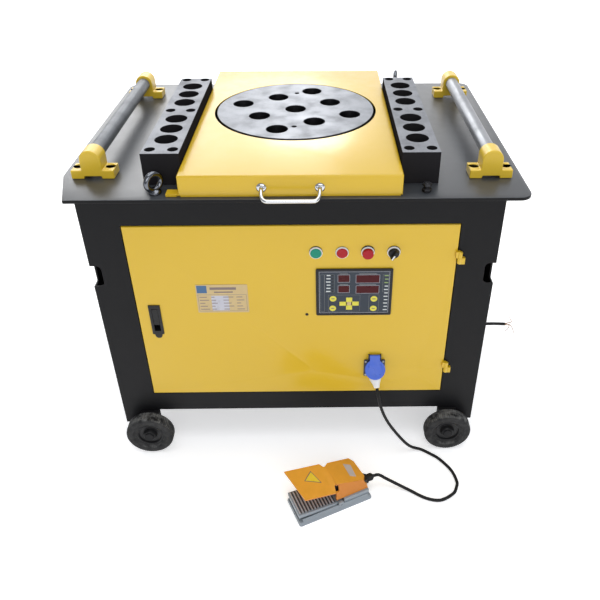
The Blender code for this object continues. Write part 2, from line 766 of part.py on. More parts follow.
def cover_hinge_leaf():
    seat = TABLE_TOP + GAP
    hinge_y, hinge_z = COVER_HINGE
    leaf = box("cover_hinge_leaf", (-0.200, 0.200), (0.3585, 0.378), (seat, seat + 0.002), "yellow_paint")
    for low, high in ((-0.200, -0.120), (-0.040, 0.040), (0.120, 0.200)):
        web = box("web", (low, high), (0.3595, 0.3645), (seat + 0.001, hinge_z))
        fuse(leaf, fuse(web, rod("barrel", "X", COVER_HINGE, low, high, 0.0045, sides=12)))
    return fuse(leaf, rod("pin", "X", COVER_HINGE, -0.199, 0.199, 0.002, sides=8))


def cover_handle():
    post_x = 0.0615
    seat = COVER_FRONT - GAP
    half = ((0.0615, -0.3720, 0.7740), (0.0612, -0.3850, 0.7715), (0.0595, -0.3955, 0.7665),
            (0.0545, -0.4030, 0.7620), (0.0465, -0.4060, 0.7600))
    left = [(-x, y, z) for x, y, z in half]
    bar = tube("cover_handle", left + [(0, -0.4060, 0.7600)] + list(reversed(half)), 0.0045, "chrome", 0.014)
    for way in (-1, 1):
        flange = rod("flange", "Y", (way * post_x, 0.774), seat - 0.003, seat, 0.0105, sides=20)
        fuse(bar, flange)
    return bar


# ---------------------------------------------------------------- door and what it carries


def door_panel():
    x = (DOOR_LEFT, DOOR_RIGHT)
    z = (DOOR_LOW, DOOR_HIGH)
    back = DOOR_FACE + DOOR_DEPTH
    door = box("door_panel", x, (DOOR_FACE, back), z, "yellow_paint")
    tray = box(
        "tray", (x[0] + DOOR_SHEET, x[1] - DOOR_SHEET), (DOOR_FACE + DOOR_SHEET, back + 0.01),
        (z[0] + DOOR_SHEET, z[1] - DOOR_SHEET),
    )
    cut(door, tray)
    through = (DOOR_FACE - 0.01, DOOR_FACE + 0.01)
    switch_holes = [rod("hole", "Y", (x, SWITCH_Z), *through, 0.0113, sides=16) for x in SWITCH_X.values()]
    cut(
        door,
        *switch_holes,
        box("controller_hole", (0.054, 0.224), through, (0.434, 0.559)),
        box("latch_hole", (-0.3440, -0.3240), through, (0.3835, 0.4555)),
        rod("socket_hole", "Y", (SOCKET_X, SOCKET_Z), *through, 0.0205, sides=20),
    )
    for middle in HINGE_Z:
        low = middle + GAP
        web = box("web", (DOOR_HINGE[0] - 0.010, DOOR_HINGE[0]), (-0.3680, DOOR_FACE + 0.001), (low, low + 0.016))
        fuse(door, fuse(web, rod("barrel", "Z", DOOR_HINGE, low, low + 0.016, 0.0055, sides=16)))
        cut(door, rod("eye", "Z", DOOR_HINGE, low - 0.001, low + 0.012, 0.0028, sides=12))
    move_origin(door, (*DOOR_HINGE, DOOR_LOW))


def door_hinge(name, middle):
    """The frame's half of one weld-on hinge, with its pin."""
    face = -BODY_HALF_Y - GAP
    low = middle - 0.016
    pin_top = middle + 0.011
    leaf = box(name, (DOOR_HINGE[0], DOOR_HINGE[0] + 0.012), (-0.3680, face), (low, middle), "yellow_paint")
    fuse(
        leaf,
        rod("barrel", "Z", DOOR_HINGE, low, middle, 0.0055, sides=16),
        rod("pin", "Z", DOOR_HINGE, low + 0.002, pin_top, 0.0025, sides=12),
    )
    return leaf


def latch_cup():
    outline = [(-0.348, 0.463), (-0.348, 0.3765), (-0.3425, 0.3750)]
    outline += arc((-0.334, 0.3725), 0.0085, 180, 360, 8)
    outline += [(-0.3255, 0.3750), (-0.320, 0.3765), (-0.320, 0.463)]
    cup = prism("latch_cup", outline, "Y", -0.3629, DOOR_FACE - GAP, "black_plastic")
    fuse(cup, box("case", (-0.3435, -0.3245), (-0.3620, -0.332), (0.384, 0.455)))
    return cut(cup, box("pocket", (-0.3415, -0.3265), (-0.370, -0.340), (0.386, 0.453)))


def latch_paddle():
    pivot_y = -0.3600
    pivot_z = 0.4495
    paddle = box("latch_paddle", (-0.3411, -0.3269), (-0.3625, pivot_y), (0.404, 0.4515), "black_plastic")
    move_origin(paddle, (-0.334, pivot_y, pivot_z))


def rating_plate():
    back = DOOR_FACE - GAP
    return box("rating_plate", (-0.2305, -0.1095), (back - 0.0010, back), (0.4400, 0.5205), "label_plate")


def switch_bank():
    """Four panel switches: bezel, barrel and contact block each, held by one strip."""
    seat = DOOR_FACE - GAP
    bank = box("switch_bank", (0.0450, 0.2330), (-0.3120, -0.3080), (0.601, 0.611), "grey_plastic")
    well = STEM_RADIUS + GAP
    mouth = CAP_RADIUS + GAP
    for switch_x in SWITCH_X.values():
        bezel = turned("bezel", (
            (0, -0.3455), (well, -0.3455), (well, seat - 0.0008), (mouth, seat - 0.0008), (mouth, seat - 0.0040),
            (BEZEL_RADIUS, seat - 0.0030), (BEZEL_RADIUS, seat), (0.0110, seat), (0.0110, -0.328), (0, -0.328),
        ), "Y", (switch_x, SWITCH_Z), sides=18)
        block = box("block", (switch_x - 0.014, switch_x + 0.014), (-0.330, -0.296), (0.592, 0.620))
        fuse(bank, fuse(bezel, block))
    return bank


def push_button(name, switch_x, proud, look):
    """A wide cap on a stem; it slides 3 mm into its bezel."""
    seat = DOOR_FACE - GAP - 0.0041
    front = seat + 0.0001 - proud
    profile = (
        (0, front), (CAP_RADIUS - 0.0010, front), (CAP_RADIUS, front + 0.0010), (CAP_RADIUS, seat),
        (STEM_RADIUS, seat), (STEM_RADIUS, -0.350), (0, -0.350),
    )
    cap = turned(name, profile, "Y", (switch_x, SWITCH_Z), look, 20)
    move_origin(cap, (switch_x, DOOR_FACE, SWITCH_Z))


def selector_knob():
    x = SWITCH_X["selector"]
    front = DOOR_FACE - GAP - 0.004 - 0.0006
    knob = turned("selector_knob", (
        (0, front - 0.006), (0.0112, front - 0.006), (CAP_RADIUS, front), (STEM_RADIUS, front), (STEM_RADIUS, -0.350),
        (0, -0.350),
    ), "Y", (x, SWITCH_Z), "black_plastic", 20)
    grip = box("grip", (x - 0.0035, x + 0.0035), (front - 0.015, front - 0.003), (SWITCH_Z - 0.012, SWITCH_Z + 0.012))
    turn(grip, SELECTOR_REST, "Y", (x, front, SWITCH_Z))
    fuse(knob, grip)
    move_origin(knob, (x, DOOR_FACE, SWITCH_Z))


def controller_case():
    seat = DOOR_FACE - GAP
    outline = rounded_outline(PANEL_X, PANEL_Z, 0.004, 4)
    case = prism("controller_case", outline, "Y", seat - 0.0040, seat, "black_plastic")
    fuse(case, box("back", (0.0560, 0.2220), (seat - 0.001, -0.3150), (0.4360, 0.5570)))
    window = box("window", (0.0555, 0.2225), (-0.380, seat - 0.0025), (0.4355, 0.5575))
    return cut(case, window)


def controller_overlay():
    front = DOOR_FACE - GAP - 0.0025 - GAP
    return box("controller_overlay", (0.0558, 0.2222), (front - 0.0008, front), (0.4358, 0.5572), "black_plastic")


def foot_socket():
    seat = DOOR_FACE - GAP
    centre = (SOCKET_X, SOCKET_Z)
    hinge_y, hinge_z = LID_HINGE
    half = 0.0265
    socket = box(
        "foot_socket", (SOCKET_X - half, SOCKET_X + half), (seat - 0.004, seat),
        (SOCKET_Z - half, SOCKET_Z + half), "black_plastic",
    )
    fuse(
        socket,
        rod("barrel", "Y", centre, seat - 0.001, -0.326, 0.0200, sides=24),
        rod("collar", "Y", centre, -0.3667, seat - 0.001, 0.0235, sides=24),
    )
    for way in (-1, 1):
        x = sorted((SOCKET_X + way * 0.0130, SOCKET_X + way * 0.0160))
        fuse(socket, box("ear", x, (hinge_y - 0.003, seat), (0.280, hinge_z + 0.003)))
    fuse(socket, rod("pin", "X", LID_HINGE, SOCKET_X - 0.014, SOCKET_X + 0.014, 0.0015, sides=10))
    return cut(socket, rod("bore", "Y", centre, -0.380, -0.3350, 0.0180, sides=24))


def socket_lid():
    """A sprung lid that rests raised on the plug below it."""
    hinge_y, hinge_z = LID_HINGE
    middle_z = hinge_z - 0.0335
    lid = rod("socket_lid", "Y", (SOCKET_X, middle_z), hinge_y - 0.0035, hinge_y - 0.0005, 0.0255, "blue_plastic", 32)
    strap = box(
        "strap", (SOCKET_X - 0.0125, SOCKET_X + 0.0125), (hinge_y - 0.0035, hinge_y), (middle_z + 0.010, hinge_z)
    )
    fuse(lid, strap, rod("barrel", "X", LID_HINGE, SOCKET_X - 0.0125, SOCKET_X + 0.0125, 0.0035, sides=16))
    cut(lid, rod("eye", "X", LID_HINGE, SOCKET_X - 0.020, SOCKET_X + 0.020, 0.0019, sides=12))
    turn(lid, -LID_TILT, "X", (SOCKET_X, hinge_y, hinge_z))
    move_origin(lid, (SOCKET_X, hinge_y, hinge_z))


def foot_plug():
    """The plug's nose in the socket, and its neck leading down to the cable."""
    start = Vector((SOCKET_X, -0.3745, 0.2520))
    end = Vector((0.2006, -0.4000, 0.2252))
    length = (end - start).length
    neck = turned("foot_plug", (
        (0, 0), (0.0115, 0), (0.0150, 0.010), (0.0145, 0.016), (0.0085, 0.029), (0.0070, length), (0, length),
    ), "Z", (0, 0), "grey_plastic", 20)
    lean = Vector((0, 0, 1)).rotation_difference(end - start)
    neck.data.transform(Matrix.Translation(start) @ lean.to_matrix().to_4x4())
    nose = rod("nose", "Y", (SOCKET_X, SOCKET_Z), -0.3725, -0.3450, 0.0176, sides=24)
    return fuse(neck, nose)


# ---------------------------------------------------------------- wheels


def wheel(name, side_x, side_y):
    inner = WHEEL_FACE - WHEEL_WIDTH
    middle = (WHEEL_FACE + inner) / 2
    half = WHEEL_WIDTH / 2
    bore = AXLE_RADIUS + GAP
    sections = (
        (bore, -half), (0.056, -half), (WHEEL_RADIUS, -half + 0.007),
        (WHEEL_RADIUS, half - 0.007), (0.056, half), (bore, half),
    )
    profile = [(radius, side_y * (middle + along)) for radius, along in sections]
    centre = (side_x * WHEEL_X, WHEEL_RADIUS)
    made = turned(name, profile, "Y", centre, "rubber", 28)
    move_origin(made, (centre[0], side_y * middle, centre[1]))


# ---------------------------------------------------------------- foot switch


def pedal_matrix():
    there = Matrix.Translation(Vector((*PEDAL_CORNER, 0)))
    return there @ Matrix.Rotation(PEDAL_TURN, 4, "Z")


def stand_on_floor(item):
    item.data.transform(pedal_matrix())
    return item


def pedal_base():
    length, width = PEDAL_LENGTH, PEDAL_WIDTH
    tray = prism("pedal_base", rounded_outline((0, length), (0, width), 0.006), "Z", 0, 0.004, "pedal_casting")
    foot = [(u, v, 0.0035) for u, v in rounded_outline((0, length), (0, width), 0.006)]
    rim = [(u, v, 0.010) for u, v in rounded_outline((0.0012, length - 0.003), (0.003, width - 0.003), 0.006)]
    fuse(
        tray,
        lofted("slopes", foot, rim),
        box("deck", (0.122, 0.190), (0.008, 0.080), (0.009, 0.0285)),
        box("switch", (0.130, 0.176), (0.032, 0.076), (0.028, 0.044)),
        box("boss", (0.184, 0.1925), (0.022, 0.044), (0.009, 0.0475)),
    )
    for low, high in ((0.0035, 0.0084), (0.0795, 0.0830)):
        ear = box("ear", (TREADLE_PIVOT[0] - 0.006, TREADLE_PIVOT[0] + 0.006), (low, high), (0.009, 0.026))
        fuse(tray, ear)
    fuse(tray, prism("wall", ((0.0026, 0.009), (0.0062, 0.0165), (0.0082, 0.0165), (0.0082, 0.009)), "X", 0.010, 0.187))
    cut(
        tray,
        rod("pin", "Y", TREADLE_PIVOT, -0.010, 0.100, 0.0033, sides=12),
        rod("toe_hole", "X", (0.038, 0.0055), -0.010, 0.012, 0.0027, sides=12),
        rod("cable_hole", "X", (0.033, 0.038), 0.180, 0.200, 0.0070, sides=20),
    )
    return stand_on_floor(tray)


def treadle():
    """A ribbed plate with skirts that pivots between the base's ears, its toe end raised."""
    pivot_u, pivot_w = TREADLE_PIVOT
    shell = prism(
        "treadle", ((0.002, 0.0200), (0.1035, 0.0117), (0.1035, 0.0232), (0.002, 0.0315)), "Y", 0.0090, 0.0828,
        "pedal_casting",
    )
    hollow = prism("hollow", ((0.0045, 0.0100), (0.1100, 0.0080), (0.1100, 0.0180), (0.0045, 0.0270)), "Y", 0.0115, 0.0803)
    cut(shell, hollow)
    fuse(shell, prism("arm", ((0.090, 0.0165), (0.118, 0.0145), (0.118, 0.0218), (0.090, 0.0235)), "Y", 0.0110, 0.0775))
    slope = (0.0232 - 0.0315) / 0.1015
    for rib in range(12):
        start = 0.004 + rib * 0.0080
        surface = 0.0315 + slope * start
        outline = (
            (start, surface - 0.002), (start + 0.0042, surface - 0.002), (start + 0.0036, surface + 0.0028),
            (start + 0.0006, surface + 0.0028),
        )
        fuse(shell, prism("rib", outline, "Y", 0.0125, 0.0800))
    fuse(shell, rod("pins", "Y", TREADLE_PIVOT, 0.0045, 0.0826, 0.0030, sides=16))
    stand_on_floor(shell)
    move_origin(shell, pedal_matrix() @ Vector((pivot_u, 0.043, pivot_w)))


def sheet_between(name, columns, thick, steps, look=None):
    """A sheet that runs through columns, each a front and a rear point; it is thick downwards."""
    shape = bmesh.new()
    layers = []
    for drop in (0, thick):
        grid = []
        for front, rear in columns:
            points = [Vector(front).lerp(Vector(rear), step / steps) for step in range(steps + 1)]
            grid.append([shape.verts.new(point - Vector((0, 0, drop))) for point in points])
        layers.append(grid)
    last = len(columns) - 1
    for grid in layers:
        for one, two in zip(grid, grid[1:]):
            for step in range(steps):
                shape.faces.new((one[step], one[step + 1], two[step + 1], two[step]))
    top, bottom = layers
    for column in range(last):
        for step in (0, steps):
            shape.faces.new((
                top[column][step], top[column + 1][step], bottom[column + 1][step], bottom[column][step]
            ))
    for column in (0, last):
        for step in range(steps):
            shape.faces.new((
                top[column][step], top[column][step + 1], bottom[column][step + 1], bottom[column][step]
            ))
    return to_object(name, shape, look)


def box_roof(u):
    """Height of the roof over the hood's box along the pedal."""
    return 0.0752 - 0.305 * (u - 0.106)


def lofted(name, lower, upper, look=None):
    """A closed solid between two outlines with the same number of points."""
    shape = bmesh.new()
    low = [shape.verts.new(point) for point in lower]
    high = [shape.verts.new(point) for point in upper]
    shape.faces.new(low)
    shape.faces.new(high)
    for index in range(len(low)):
        after = (index + 1) % len(low)
        shape.faces.new((low[index], low[after], high[after], high[index]))
    return to_object(name, shape, look)


def pedal_hood():
    """A guard: a twisted flap over the treadle, and a box down to the base round the switch."""
    tip = Vector((0.018, 0.0065, 0.0844)), Vector((0.002, 0.102, 0.0876))
    crease = Vector((0.097, 0.004, 0.0700)), Vector((0.093, 0.094, 0.0780))
    columns = [(tip[0].lerp(crease[0], step / 6), tip[1].lerp(crease[1], step / 6)) for step in range(7)]
    columns.append(((0.1020, 0.0235, 0.0738), (0.0990, 0.0830, 0.0768)))
    columns.append(((0.1090, 0.0235, box_roof(0.109)), (0.1090, 0.0830, box_roof(0.109))))
    hood = sheet_between("pedal_hood", columns, 0.003, 4, "orange_plastic")
    skirt = ((0.103, 0.012), (0.190, 0.013), (0.1955, 0.038), (0.191, 0.088), (0.103, 0.092))
    crown = ((0.106, 0.0225), (0.181, 0.0225), (0.190, 0.0345), (0.186, 0.0850), (0.177, 0.0975), (0.114, 0.0925),
             (0.106, 0.0850))
    base = (skirt[0], skirt[1], skirt[2], (0.1925, 0.0800), skirt[3], skirt[4], (0.103, 0.0880))
    bottom = 0.0290
    shell = lofted("shell", [(u, v, bottom) for u, v in base], [(u, v, box_roof(u)) for u, v in crown])
    inner_base = ((0.095, 0.0160), (0.1865, 0.0165), (0.1918, 0.038), (0.1885, 0.0780), (0.1870, 0.0840),
                  (0.100, 0.0880), (0.095, 0.0860))
    inner_crown = ((0.095, 0.0255), (0.1785, 0.0255), (0.1865, 0.0355), (0.1825, 0.0840), (0.1755, 0.0940),
                   (0.1155, 0.0890), (0.095, 0.0810))
    room = lofted(
        "room", [(u, v, bottom - 0.010) for u, v in inner_base],
        [(u, v, box_roof(max(u, 0.106)) - 0.0032) for u, v in inner_crown],
    )
    cut(shell, room)
    fuse(hood, shell)
    cut(hood, box("gland_slot", (0.178, 0.210), (0.0215, 0.0445), (0.020, 0.0480)))
    cut(hood, box("corner_notch", (0.1022, 0.1125), (0.004, 0.0232), (0.052, 0.0704)))
    return stand_on_floor(hood)


def pedal_gland():
    profile = (
        (0.0043, 0.1870), (0.0066, 0.1870), (0.0066, 0.1928), (0.0090, 0.1928), (0.0090, 0.1948),
        (0.0122, 0.1948), (0.0122, 0.1962), (0.0090, 0.1962), (0.0090, 0.2040), (0.0072, 0.2138), (0.0043, 0.2138),
    )
    return stand_on_floor(turned("pedal_gland", profile, "X", (0.033, 0.038), "black_plastic", 20))


# ---------------------------------------------------------------- cords


def lead_cores():
    """The supply lead's three bare cores, spreading from the end of its sheath."""
    start = 0.5485
    collar = rod("power_lead_cores", "X", (LEAD_Y, 0.3071), start, start + 0.004, 0.0036, "copper", 16)
    ends = (
        ((0.557, -0.2495, 0.3110), (0.5660, -0.2490, 0.3130), (0.5620, -0.2480, 0.3200), (0.5580, -0.2470, 0.3290)),
        ((0.556, -0.2505, 0.3060), (0.5600, -0.2520, 0.3020), (0.5580, -0.2530, 0.2940), (0.5510, -0.2540, 0.2860)),
        ((0.558, -0.2500, 0.3060), (0.5660, -0.2490, 0.3000), (0.5720, -0.2480, 0.2900), (0.5780, -0.2470, 0.2740)),
    )
    for route in ends:
        offset = (route[0][2] - 0.3071) * 0.3
        root = (start + 0.002, LEAD_Y, 0.3071 + offset)
        fuse(collar, tube("core", (root,) + route, 0.0011, spacing=0.010))
    return collar


def cords():
    cord("foot_cable", FOOT_CABLE_ROUTE, CABLE_RADIUS, "rubber")
    lead = ((0.4638 + 0.0002, LEAD_Y, LEAD_Z), (0.4900, LEAD_Y, 0.3083), (0.5200, LEAD_Y, 0.3086), (0.5480, LEAD_Y, 0.3071))
    cord("power_lead", lead, CABLE_RADIUS, "rubber", 0.012)
    lead_cores()


# ---------------------------------------------------------------- assembly


def build():
    clear_scene()
    frame_cabinet()
    table_plate()
    rear_panel()
    eyebolt("eyebolt_front_left", -LIFT_X, -LIFT_Y, math.radians(48))
    eyebolt("eyebolt_rear_right", LIFT_X, LIFT_Y, math.radians(83))
    table_stud()
    for side in ("left", "right"):
        pin_block(side)
        roller_with_blocks(side)
    bending_disc()
    main_shaft()
    worm_wheel()
    worm_shaft()
    gearbox_housing()
    pulley("input_pulley", (WORM_Y, WORM_Z), BIG_PULLEY, 0.017 + GAP)
    pulley("motor_pulley", (WORM_Y, MOTOR_Z), SMALL_PULLEY, 0.014 + GAP)
    v_belt()
    motor_housing()
    motor_fan_cowl()
    motor_terminal_box()
    motor_shaft()
    electrical_panel()
    contactor()
    power_gland()
    cover_sheet()
    cover_hinge_leaf()
    cover_handle()
    door_panel()
    door_hinge("door_hinge_lower", HINGE_Z[0])
    door_hinge("door_hinge_upper", HINGE_Z[1])
    latch_cup()
    latch_paddle()
    rating_plate()
    switch_bank()
    push_button("green_button", SWITCH_X["green"], 0.0015, "green_plastic")
    push_button("red_button_left", SWITCH_X["red_left"], 0.0015, "red_plastic")
    push_button("red_button_right", SWITCH_X["red_right"], 0.0080, "red_plastic")
    selector_knob()
    controller_case()
    controller_overlay()
    foot_socket()
    socket_lid()
    foot_plug()
    for end, side_y in (("front", -1), ("rear", 1)):
        for side, side_x in (("left", -1), ("right", 1)):
            wheel("wheel_" + end + "_" + side, side_x, side_y)
    pedal_base()
    treadle()
    pedal_hood()
    pedal_gland()
    cords()
    for item in bpy.data.objects:
        item.location.y += SHIFT_Y
        if item.type == "MESH":
            item.data.shade_smooth()
            item.data.set_sharp_from_angle(angle=math.radians(35))


build()
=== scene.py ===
"""Looks of the floor-standing rebar bender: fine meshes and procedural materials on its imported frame.

Metres, +Z up, the operator stands at -Y. Every piece is modelled in place in the frame's own
coordinates, so a material's object coordinates are places on the machine at rest.
"""

import json
import math

import bmesh
import bpy
from mathutils import Matrix, Vector


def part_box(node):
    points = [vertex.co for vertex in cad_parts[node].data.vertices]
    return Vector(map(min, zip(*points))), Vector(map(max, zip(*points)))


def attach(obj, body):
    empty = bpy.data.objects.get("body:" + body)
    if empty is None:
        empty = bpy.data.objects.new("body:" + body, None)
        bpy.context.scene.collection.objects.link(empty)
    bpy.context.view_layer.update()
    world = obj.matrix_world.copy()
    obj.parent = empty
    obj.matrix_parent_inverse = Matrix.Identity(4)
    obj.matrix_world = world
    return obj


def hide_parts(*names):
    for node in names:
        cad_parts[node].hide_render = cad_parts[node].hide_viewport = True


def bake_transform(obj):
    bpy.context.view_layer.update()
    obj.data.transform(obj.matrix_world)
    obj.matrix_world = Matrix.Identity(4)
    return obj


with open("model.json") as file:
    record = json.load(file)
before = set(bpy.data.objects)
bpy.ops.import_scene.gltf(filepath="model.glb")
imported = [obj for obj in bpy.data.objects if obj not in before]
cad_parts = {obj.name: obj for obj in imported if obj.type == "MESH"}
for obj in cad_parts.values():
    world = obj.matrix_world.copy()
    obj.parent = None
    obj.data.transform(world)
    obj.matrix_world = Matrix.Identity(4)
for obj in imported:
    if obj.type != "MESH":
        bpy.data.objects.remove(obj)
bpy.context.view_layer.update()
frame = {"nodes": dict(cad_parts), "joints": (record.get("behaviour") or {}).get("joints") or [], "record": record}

MERGE = 0.000002  # points closer than this become one after a boolean
SHIFT_Y = 0.11407  # the table's centre in the frame, along Y
GAP = 0.0003  # room between parts seated on each other
WAYS = (-1, 1)
SCENE = bpy.context.scene


# ---------------------------------------------------------------- camera


def camera():
    view = bpy.data.cameras.new("camera")
    view.lens = 38.93
    view.shift_x = -0.0496
    view.shift_y = -0.0634
    view.clip_end = 60
    made = bpy.data.objects.new("camera", view)
    made.location = (0.0639, -1.4798, 1.3874)
    made.rotation_euler = (math.radians(90 - 33.19), 0, math.radians(-0.85))
    SCENE.collection.objects.link(made)
    SCENE.camera = made


# ---------------------------------------------------------------- materials

LOOKS = {}


class Look:
    """A new material with its node graph; it goes into LOOKS under its name."""

    def __init__(self, name, colour, roughness, metallic=0.0, **constants):
        self.made = LOOKS[name] = bpy.data.materials.new("look_" + name)
        self.made.use_nodes = True
        self.tree = self.made.node_tree
        self.shader = self.tree.nodes["Principled BSDF"]
        self.made.diffuse_color = (*colour, 1)
        constants.update(base_color=(*colour, 1), roughness=roughness, metallic=metallic)
        for key, value in constants.items():
            self.shader.inputs[key.replace("_", " ").title().replace("Ior", "IOR")].default_value = value

    def add(self, kind, inputs=None, output=0, **settings):
        """One output of a new node with these settings, its inputs linked or set."""
        node = self.tree.nodes.new("ShaderNode" + kind)
        for key, value in settings.items():
            setattr(node, key, value)
        for key, value in (inputs or {}).items():
            if isinstance(value, bpy.types.NodeSocket):
                self.tree.links.new(value, node.inputs[key])
            else:
                node.inputs[key].default_value = value
        return node.outputs[output]

    def drive(self, key, value):
        self.tree.links.new(value, self.shader.inputs[key])

    def places(self, scale=(1, 1, 1), turn=0.0, centre=(0, 0, 0)):
        """Object coordinates about a centre, turned about Z and stretched."""
        source = self.add("TexCoord", output="Object")
        moved = self.add("VectorMath", {0: source, 1: centre}, operation="SUBTRACT")
        mapping = self.add("Mapping", {"Vector": moved, "Rotation": (0, 0, turn)})
        return self.add("VectorMath", {0: mapping, 1: scale}, operation="MULTIPLY")

    def noise(self, vector, scale, detail=2.0, roughness=0.5):
        inputs = {"Vector": vector, "Scale": scale, "Detail": detail, "Roughness": roughness}
        return self.add("TexNoise", inputs)

    def fit(self, value, low, high, to_low=0.0, to_high=1.0):
        inputs = {"Value": value, "From Min": low, "From Max": high, "To Min": to_low, "To Max": to_high}
        return self.add("MapRange", inputs)

    def times(self, one, two, clamp=False):
        return self.add("Math", {0: one, 1: two}, operation="MULTIPLY", use_clamp=clamp)

    def plus(self, one, two):
        return self.add("Math", {0: one, 1: two}, operation="ADD", use_clamp=False)

    def blend(self, factor, one, two):
        """A colour between one and two, which are colours or sockets."""
        inputs = {0: factor, 6: one, 7: two}
        for index in (6, 7):
            if isinstance(inputs[index], tuple):
                inputs[index] = (*inputs[index], 1)
        return self.add("Mix", inputs, 2, data_type="RGBA")

    def relief(self, *layers):
        """Bump the surface by several (height socket, depth in metres) layers."""
        below = {}
        for height, depth in layers:
            inputs = {"Height": height, "Distance": depth, "Strength": 1.0, **below}
            below = {"Normal": self.add("Bump", inputs)}
        self.drive("Normal", below["Normal"])

    # edge mask for worn edges and for a painted highlight along the edges
    def edge_wear_and_highlight(self, radius):
        """0 on open faces, rising to 1 within a radius of an edge."""
        soft = self.add("Bevel", {"Radius": radius}, samples=6)
        true = self.add("NewGeometry", output="Normal")
        same = self.add("VectorMath", {0: soft, 1: true}, "Value", operation="DOT_PRODUCT")
        return self.fit(same, 0.985, 0.8)

    def facing_up(self):
        """1 where the rest shape faces up, 0 where it faces sideways or down."""
        return self.add("SeparateXYZ", {0: self.add("TexCoord", output="Normal")}, 2)


def shade(colour, share):
    return tuple(min(1.0, channel * share) for channel in colour)


def painted(name, colour, roughness, peel=0.00003, wear=0.5, dust=0.15, tint=0.08,
            coat=0.25, sheen=0.5, gloss=0.16):
    """Sprayed paint: soft tone changes, orange peel, fine scuffs, dust and worn edges, which on the dark paints
    are lighter as a painted edge highlight.
    """
    look = Look(
        name, colour, roughness, coat_weight=coat, coat_roughness=gloss, specular_ior_level=sheen,
    )
    where = look.places()
    cloudy = look.noise(where, 38.0, 5.0, 0.6)
    tone = look.blend(look.noise(where, 3.1, 3.0), shade(colour, 1 - tint), shade(colour, 1 + tint))
    streaks = look.noise(look.places((40, 40, 260), 0.3), 1.0, 4.0, 0.65)
    scuffs = look.times(look.fit(streaks, 0.66, 0.78), look.fit(cloudy, 0.48, 0.62))
    tone = look.blend(look.times(scuffs, 0.22 * wear), tone, (0.42, 0.4, 0.36))
    settled = look.times(look.facing_up(), look.fit(cloudy, 0.3, 0.8), clamp=True)
    tone = look.blend(look.times(settled, dust), tone, (0.5, 0.47, 0.42))
    # worn edges: wear, and on dark paints a lighter rim that is a painted highlight
    rubbed_and_lit = look.times(look.edge_wear_and_highlight(0.0014), look.fit(cloudy, 0.42, 0.64))
    look.drive("Base Color", look.blend(look.times(rubbed_and_lit, wear * 0.6), tone, (0.36, 0.34, 0.31)))
    rough = look.fit(cloudy, 0.3, 0.7, roughness - 0.04, roughness + 0.06)
    look.drive("Roughness", look.plus(rough, look.times(scuffs, 0.15)))
    look.relief((look.noise(where, 7.0, 1.0), 0.0004), (look.noise(where, 620.0, 2.0), peel))
    return look


def bare_steel(name, colour, roughness, grain, stain=0.4, depth=0.00002, metallic=1.0):
    """Bare steel with the marks of its cutting, along or round a grain, oil and handling stains."""
    look = Look(name, colour, roughness, metallic)
    where = look.places()
    cloudy = look.noise(where, 21.0, 6.0, 0.62)
    specks = look.noise(where, 420.0, 3.0, 0.7)
    marks = grain(look)
    tone = look.blend(look.fit(marks, 0.3, 0.7), shade(colour, 0.8), shade(colour, 1.12))
    tone = look.blend(look.times(look.fit(cloudy, 0.47, 0.72), stain), tone, shade(colour, 0.42))
    tone = look.blend(look.times(look.fit(specks, 0.63, 0.72), stain), tone, shade(colour, 0.3))
    look.drive("Base Color", tone)
    rough = look.plus(look.fit(marks, 0.2, 0.8, -0.08, 0.1), look.fit(cloudy, 0.3, 0.7, -0.05, 0.12))
    look.drive("Roughness", look.plus(rough, roughness))
    look.relief((marks, depth), (cloudy, depth * 4))


def straight_grain(*scale):
    """Grinding marks: noise drawn out along the axis with the small scale."""
    return lambda look: look.noise(look.places(scale), 3.0, 3.0, 0.6)


def lathe_grain(look):
    """Lathe marks: noise of the distance from the disc's centre line, crossed by scratches."""
    flat = look.add("VectorMath", {0: look.places(centre=DISC_CENTRE), 1: (1, 1, 0)}, operation="MULTIPLY")
    radius = look.add("VectorMath", {0: flat}, "Value", operation="LENGTH")
    rings = look.noise(look.add("CombineXYZ", {0: radius}), 620.0, 3.0, 0.7)
    scratch = look.noise(look.places((30, 900, 30), 0.6), 1.0, 3.0, 0.7)
    return look.plus(look.times(rings, 0.72), look.times(scratch, 0.28))


def moulded(name, colour, roughness, grain=0.00002, scale=900.0, sides=None, **constants):
    """Moulded plastic or rubber: fine grain, tiny tone changes, handling marks that pale the edges, also as a
    painted edge highlight; sides may be darker, as painted shade.
    """
    look = Look(name, colour, roughness, **constants)
    where = look.places()
    cloudy = look.noise(where, 55.0, 5.0, 0.6)
    tone = look.blend(cloudy, shade(colour, 0.9), shade(colour, 1.1))
    # painted shade: faces that do not face up take the darker sides colour
    if sides:
        tone = look.blend(look.fit(look.facing_up(), 0.35, 0.85), sides, tone)
    # pale edges: handling marks, and a painted highlight along the edges
    pale = tuple(channel * 0.7 + 0.12 for channel in colour)
    look.drive("Base Color", look.blend(look.times(look.edge_wear_and_highlight(0.0008), 0.25), tone, pale))
    look.drive("Roughness", look.fit(cloudy, 0.3, 0.7, roughness - 0.06, roughness + 0.08))
    look.relief((look.noise(where, scale, 2.0), grain))


def tyre_rubber():
    """Black rubber with grey on what faces up and in its pores: dust, and on the tops a painted highlight."""
    colour = (0.01, 0.01, 0.011)
    look = Look("tyre_rubber", colour, 0.55, specular_ior_level=0.22)
    where = look.places()
    cloudy = look.noise(where, 70.0, 6.0, 0.65)
    up = look.plus(look.fit(look.facing_up(), 0.35, 1.0), 0.18)
    # grey on the tops and in the pores: dust, and a painted highlight on the tops
    dust_and_sheen = look.times(up, look.fit(cloudy, 0.38, 0.66), clamp=True)
    look.drive("Base Color", look.blend(dust_and_sheen, colour, (0.19, 0.19, 0.185)))
    look.drive("Roughness", look.fit(cloudy, 0.3, 0.7, 0.48, 0.72))
    look.relief((look.noise(where, 900.0, 2.0), 0.00006), (cloudy, 0.0002))


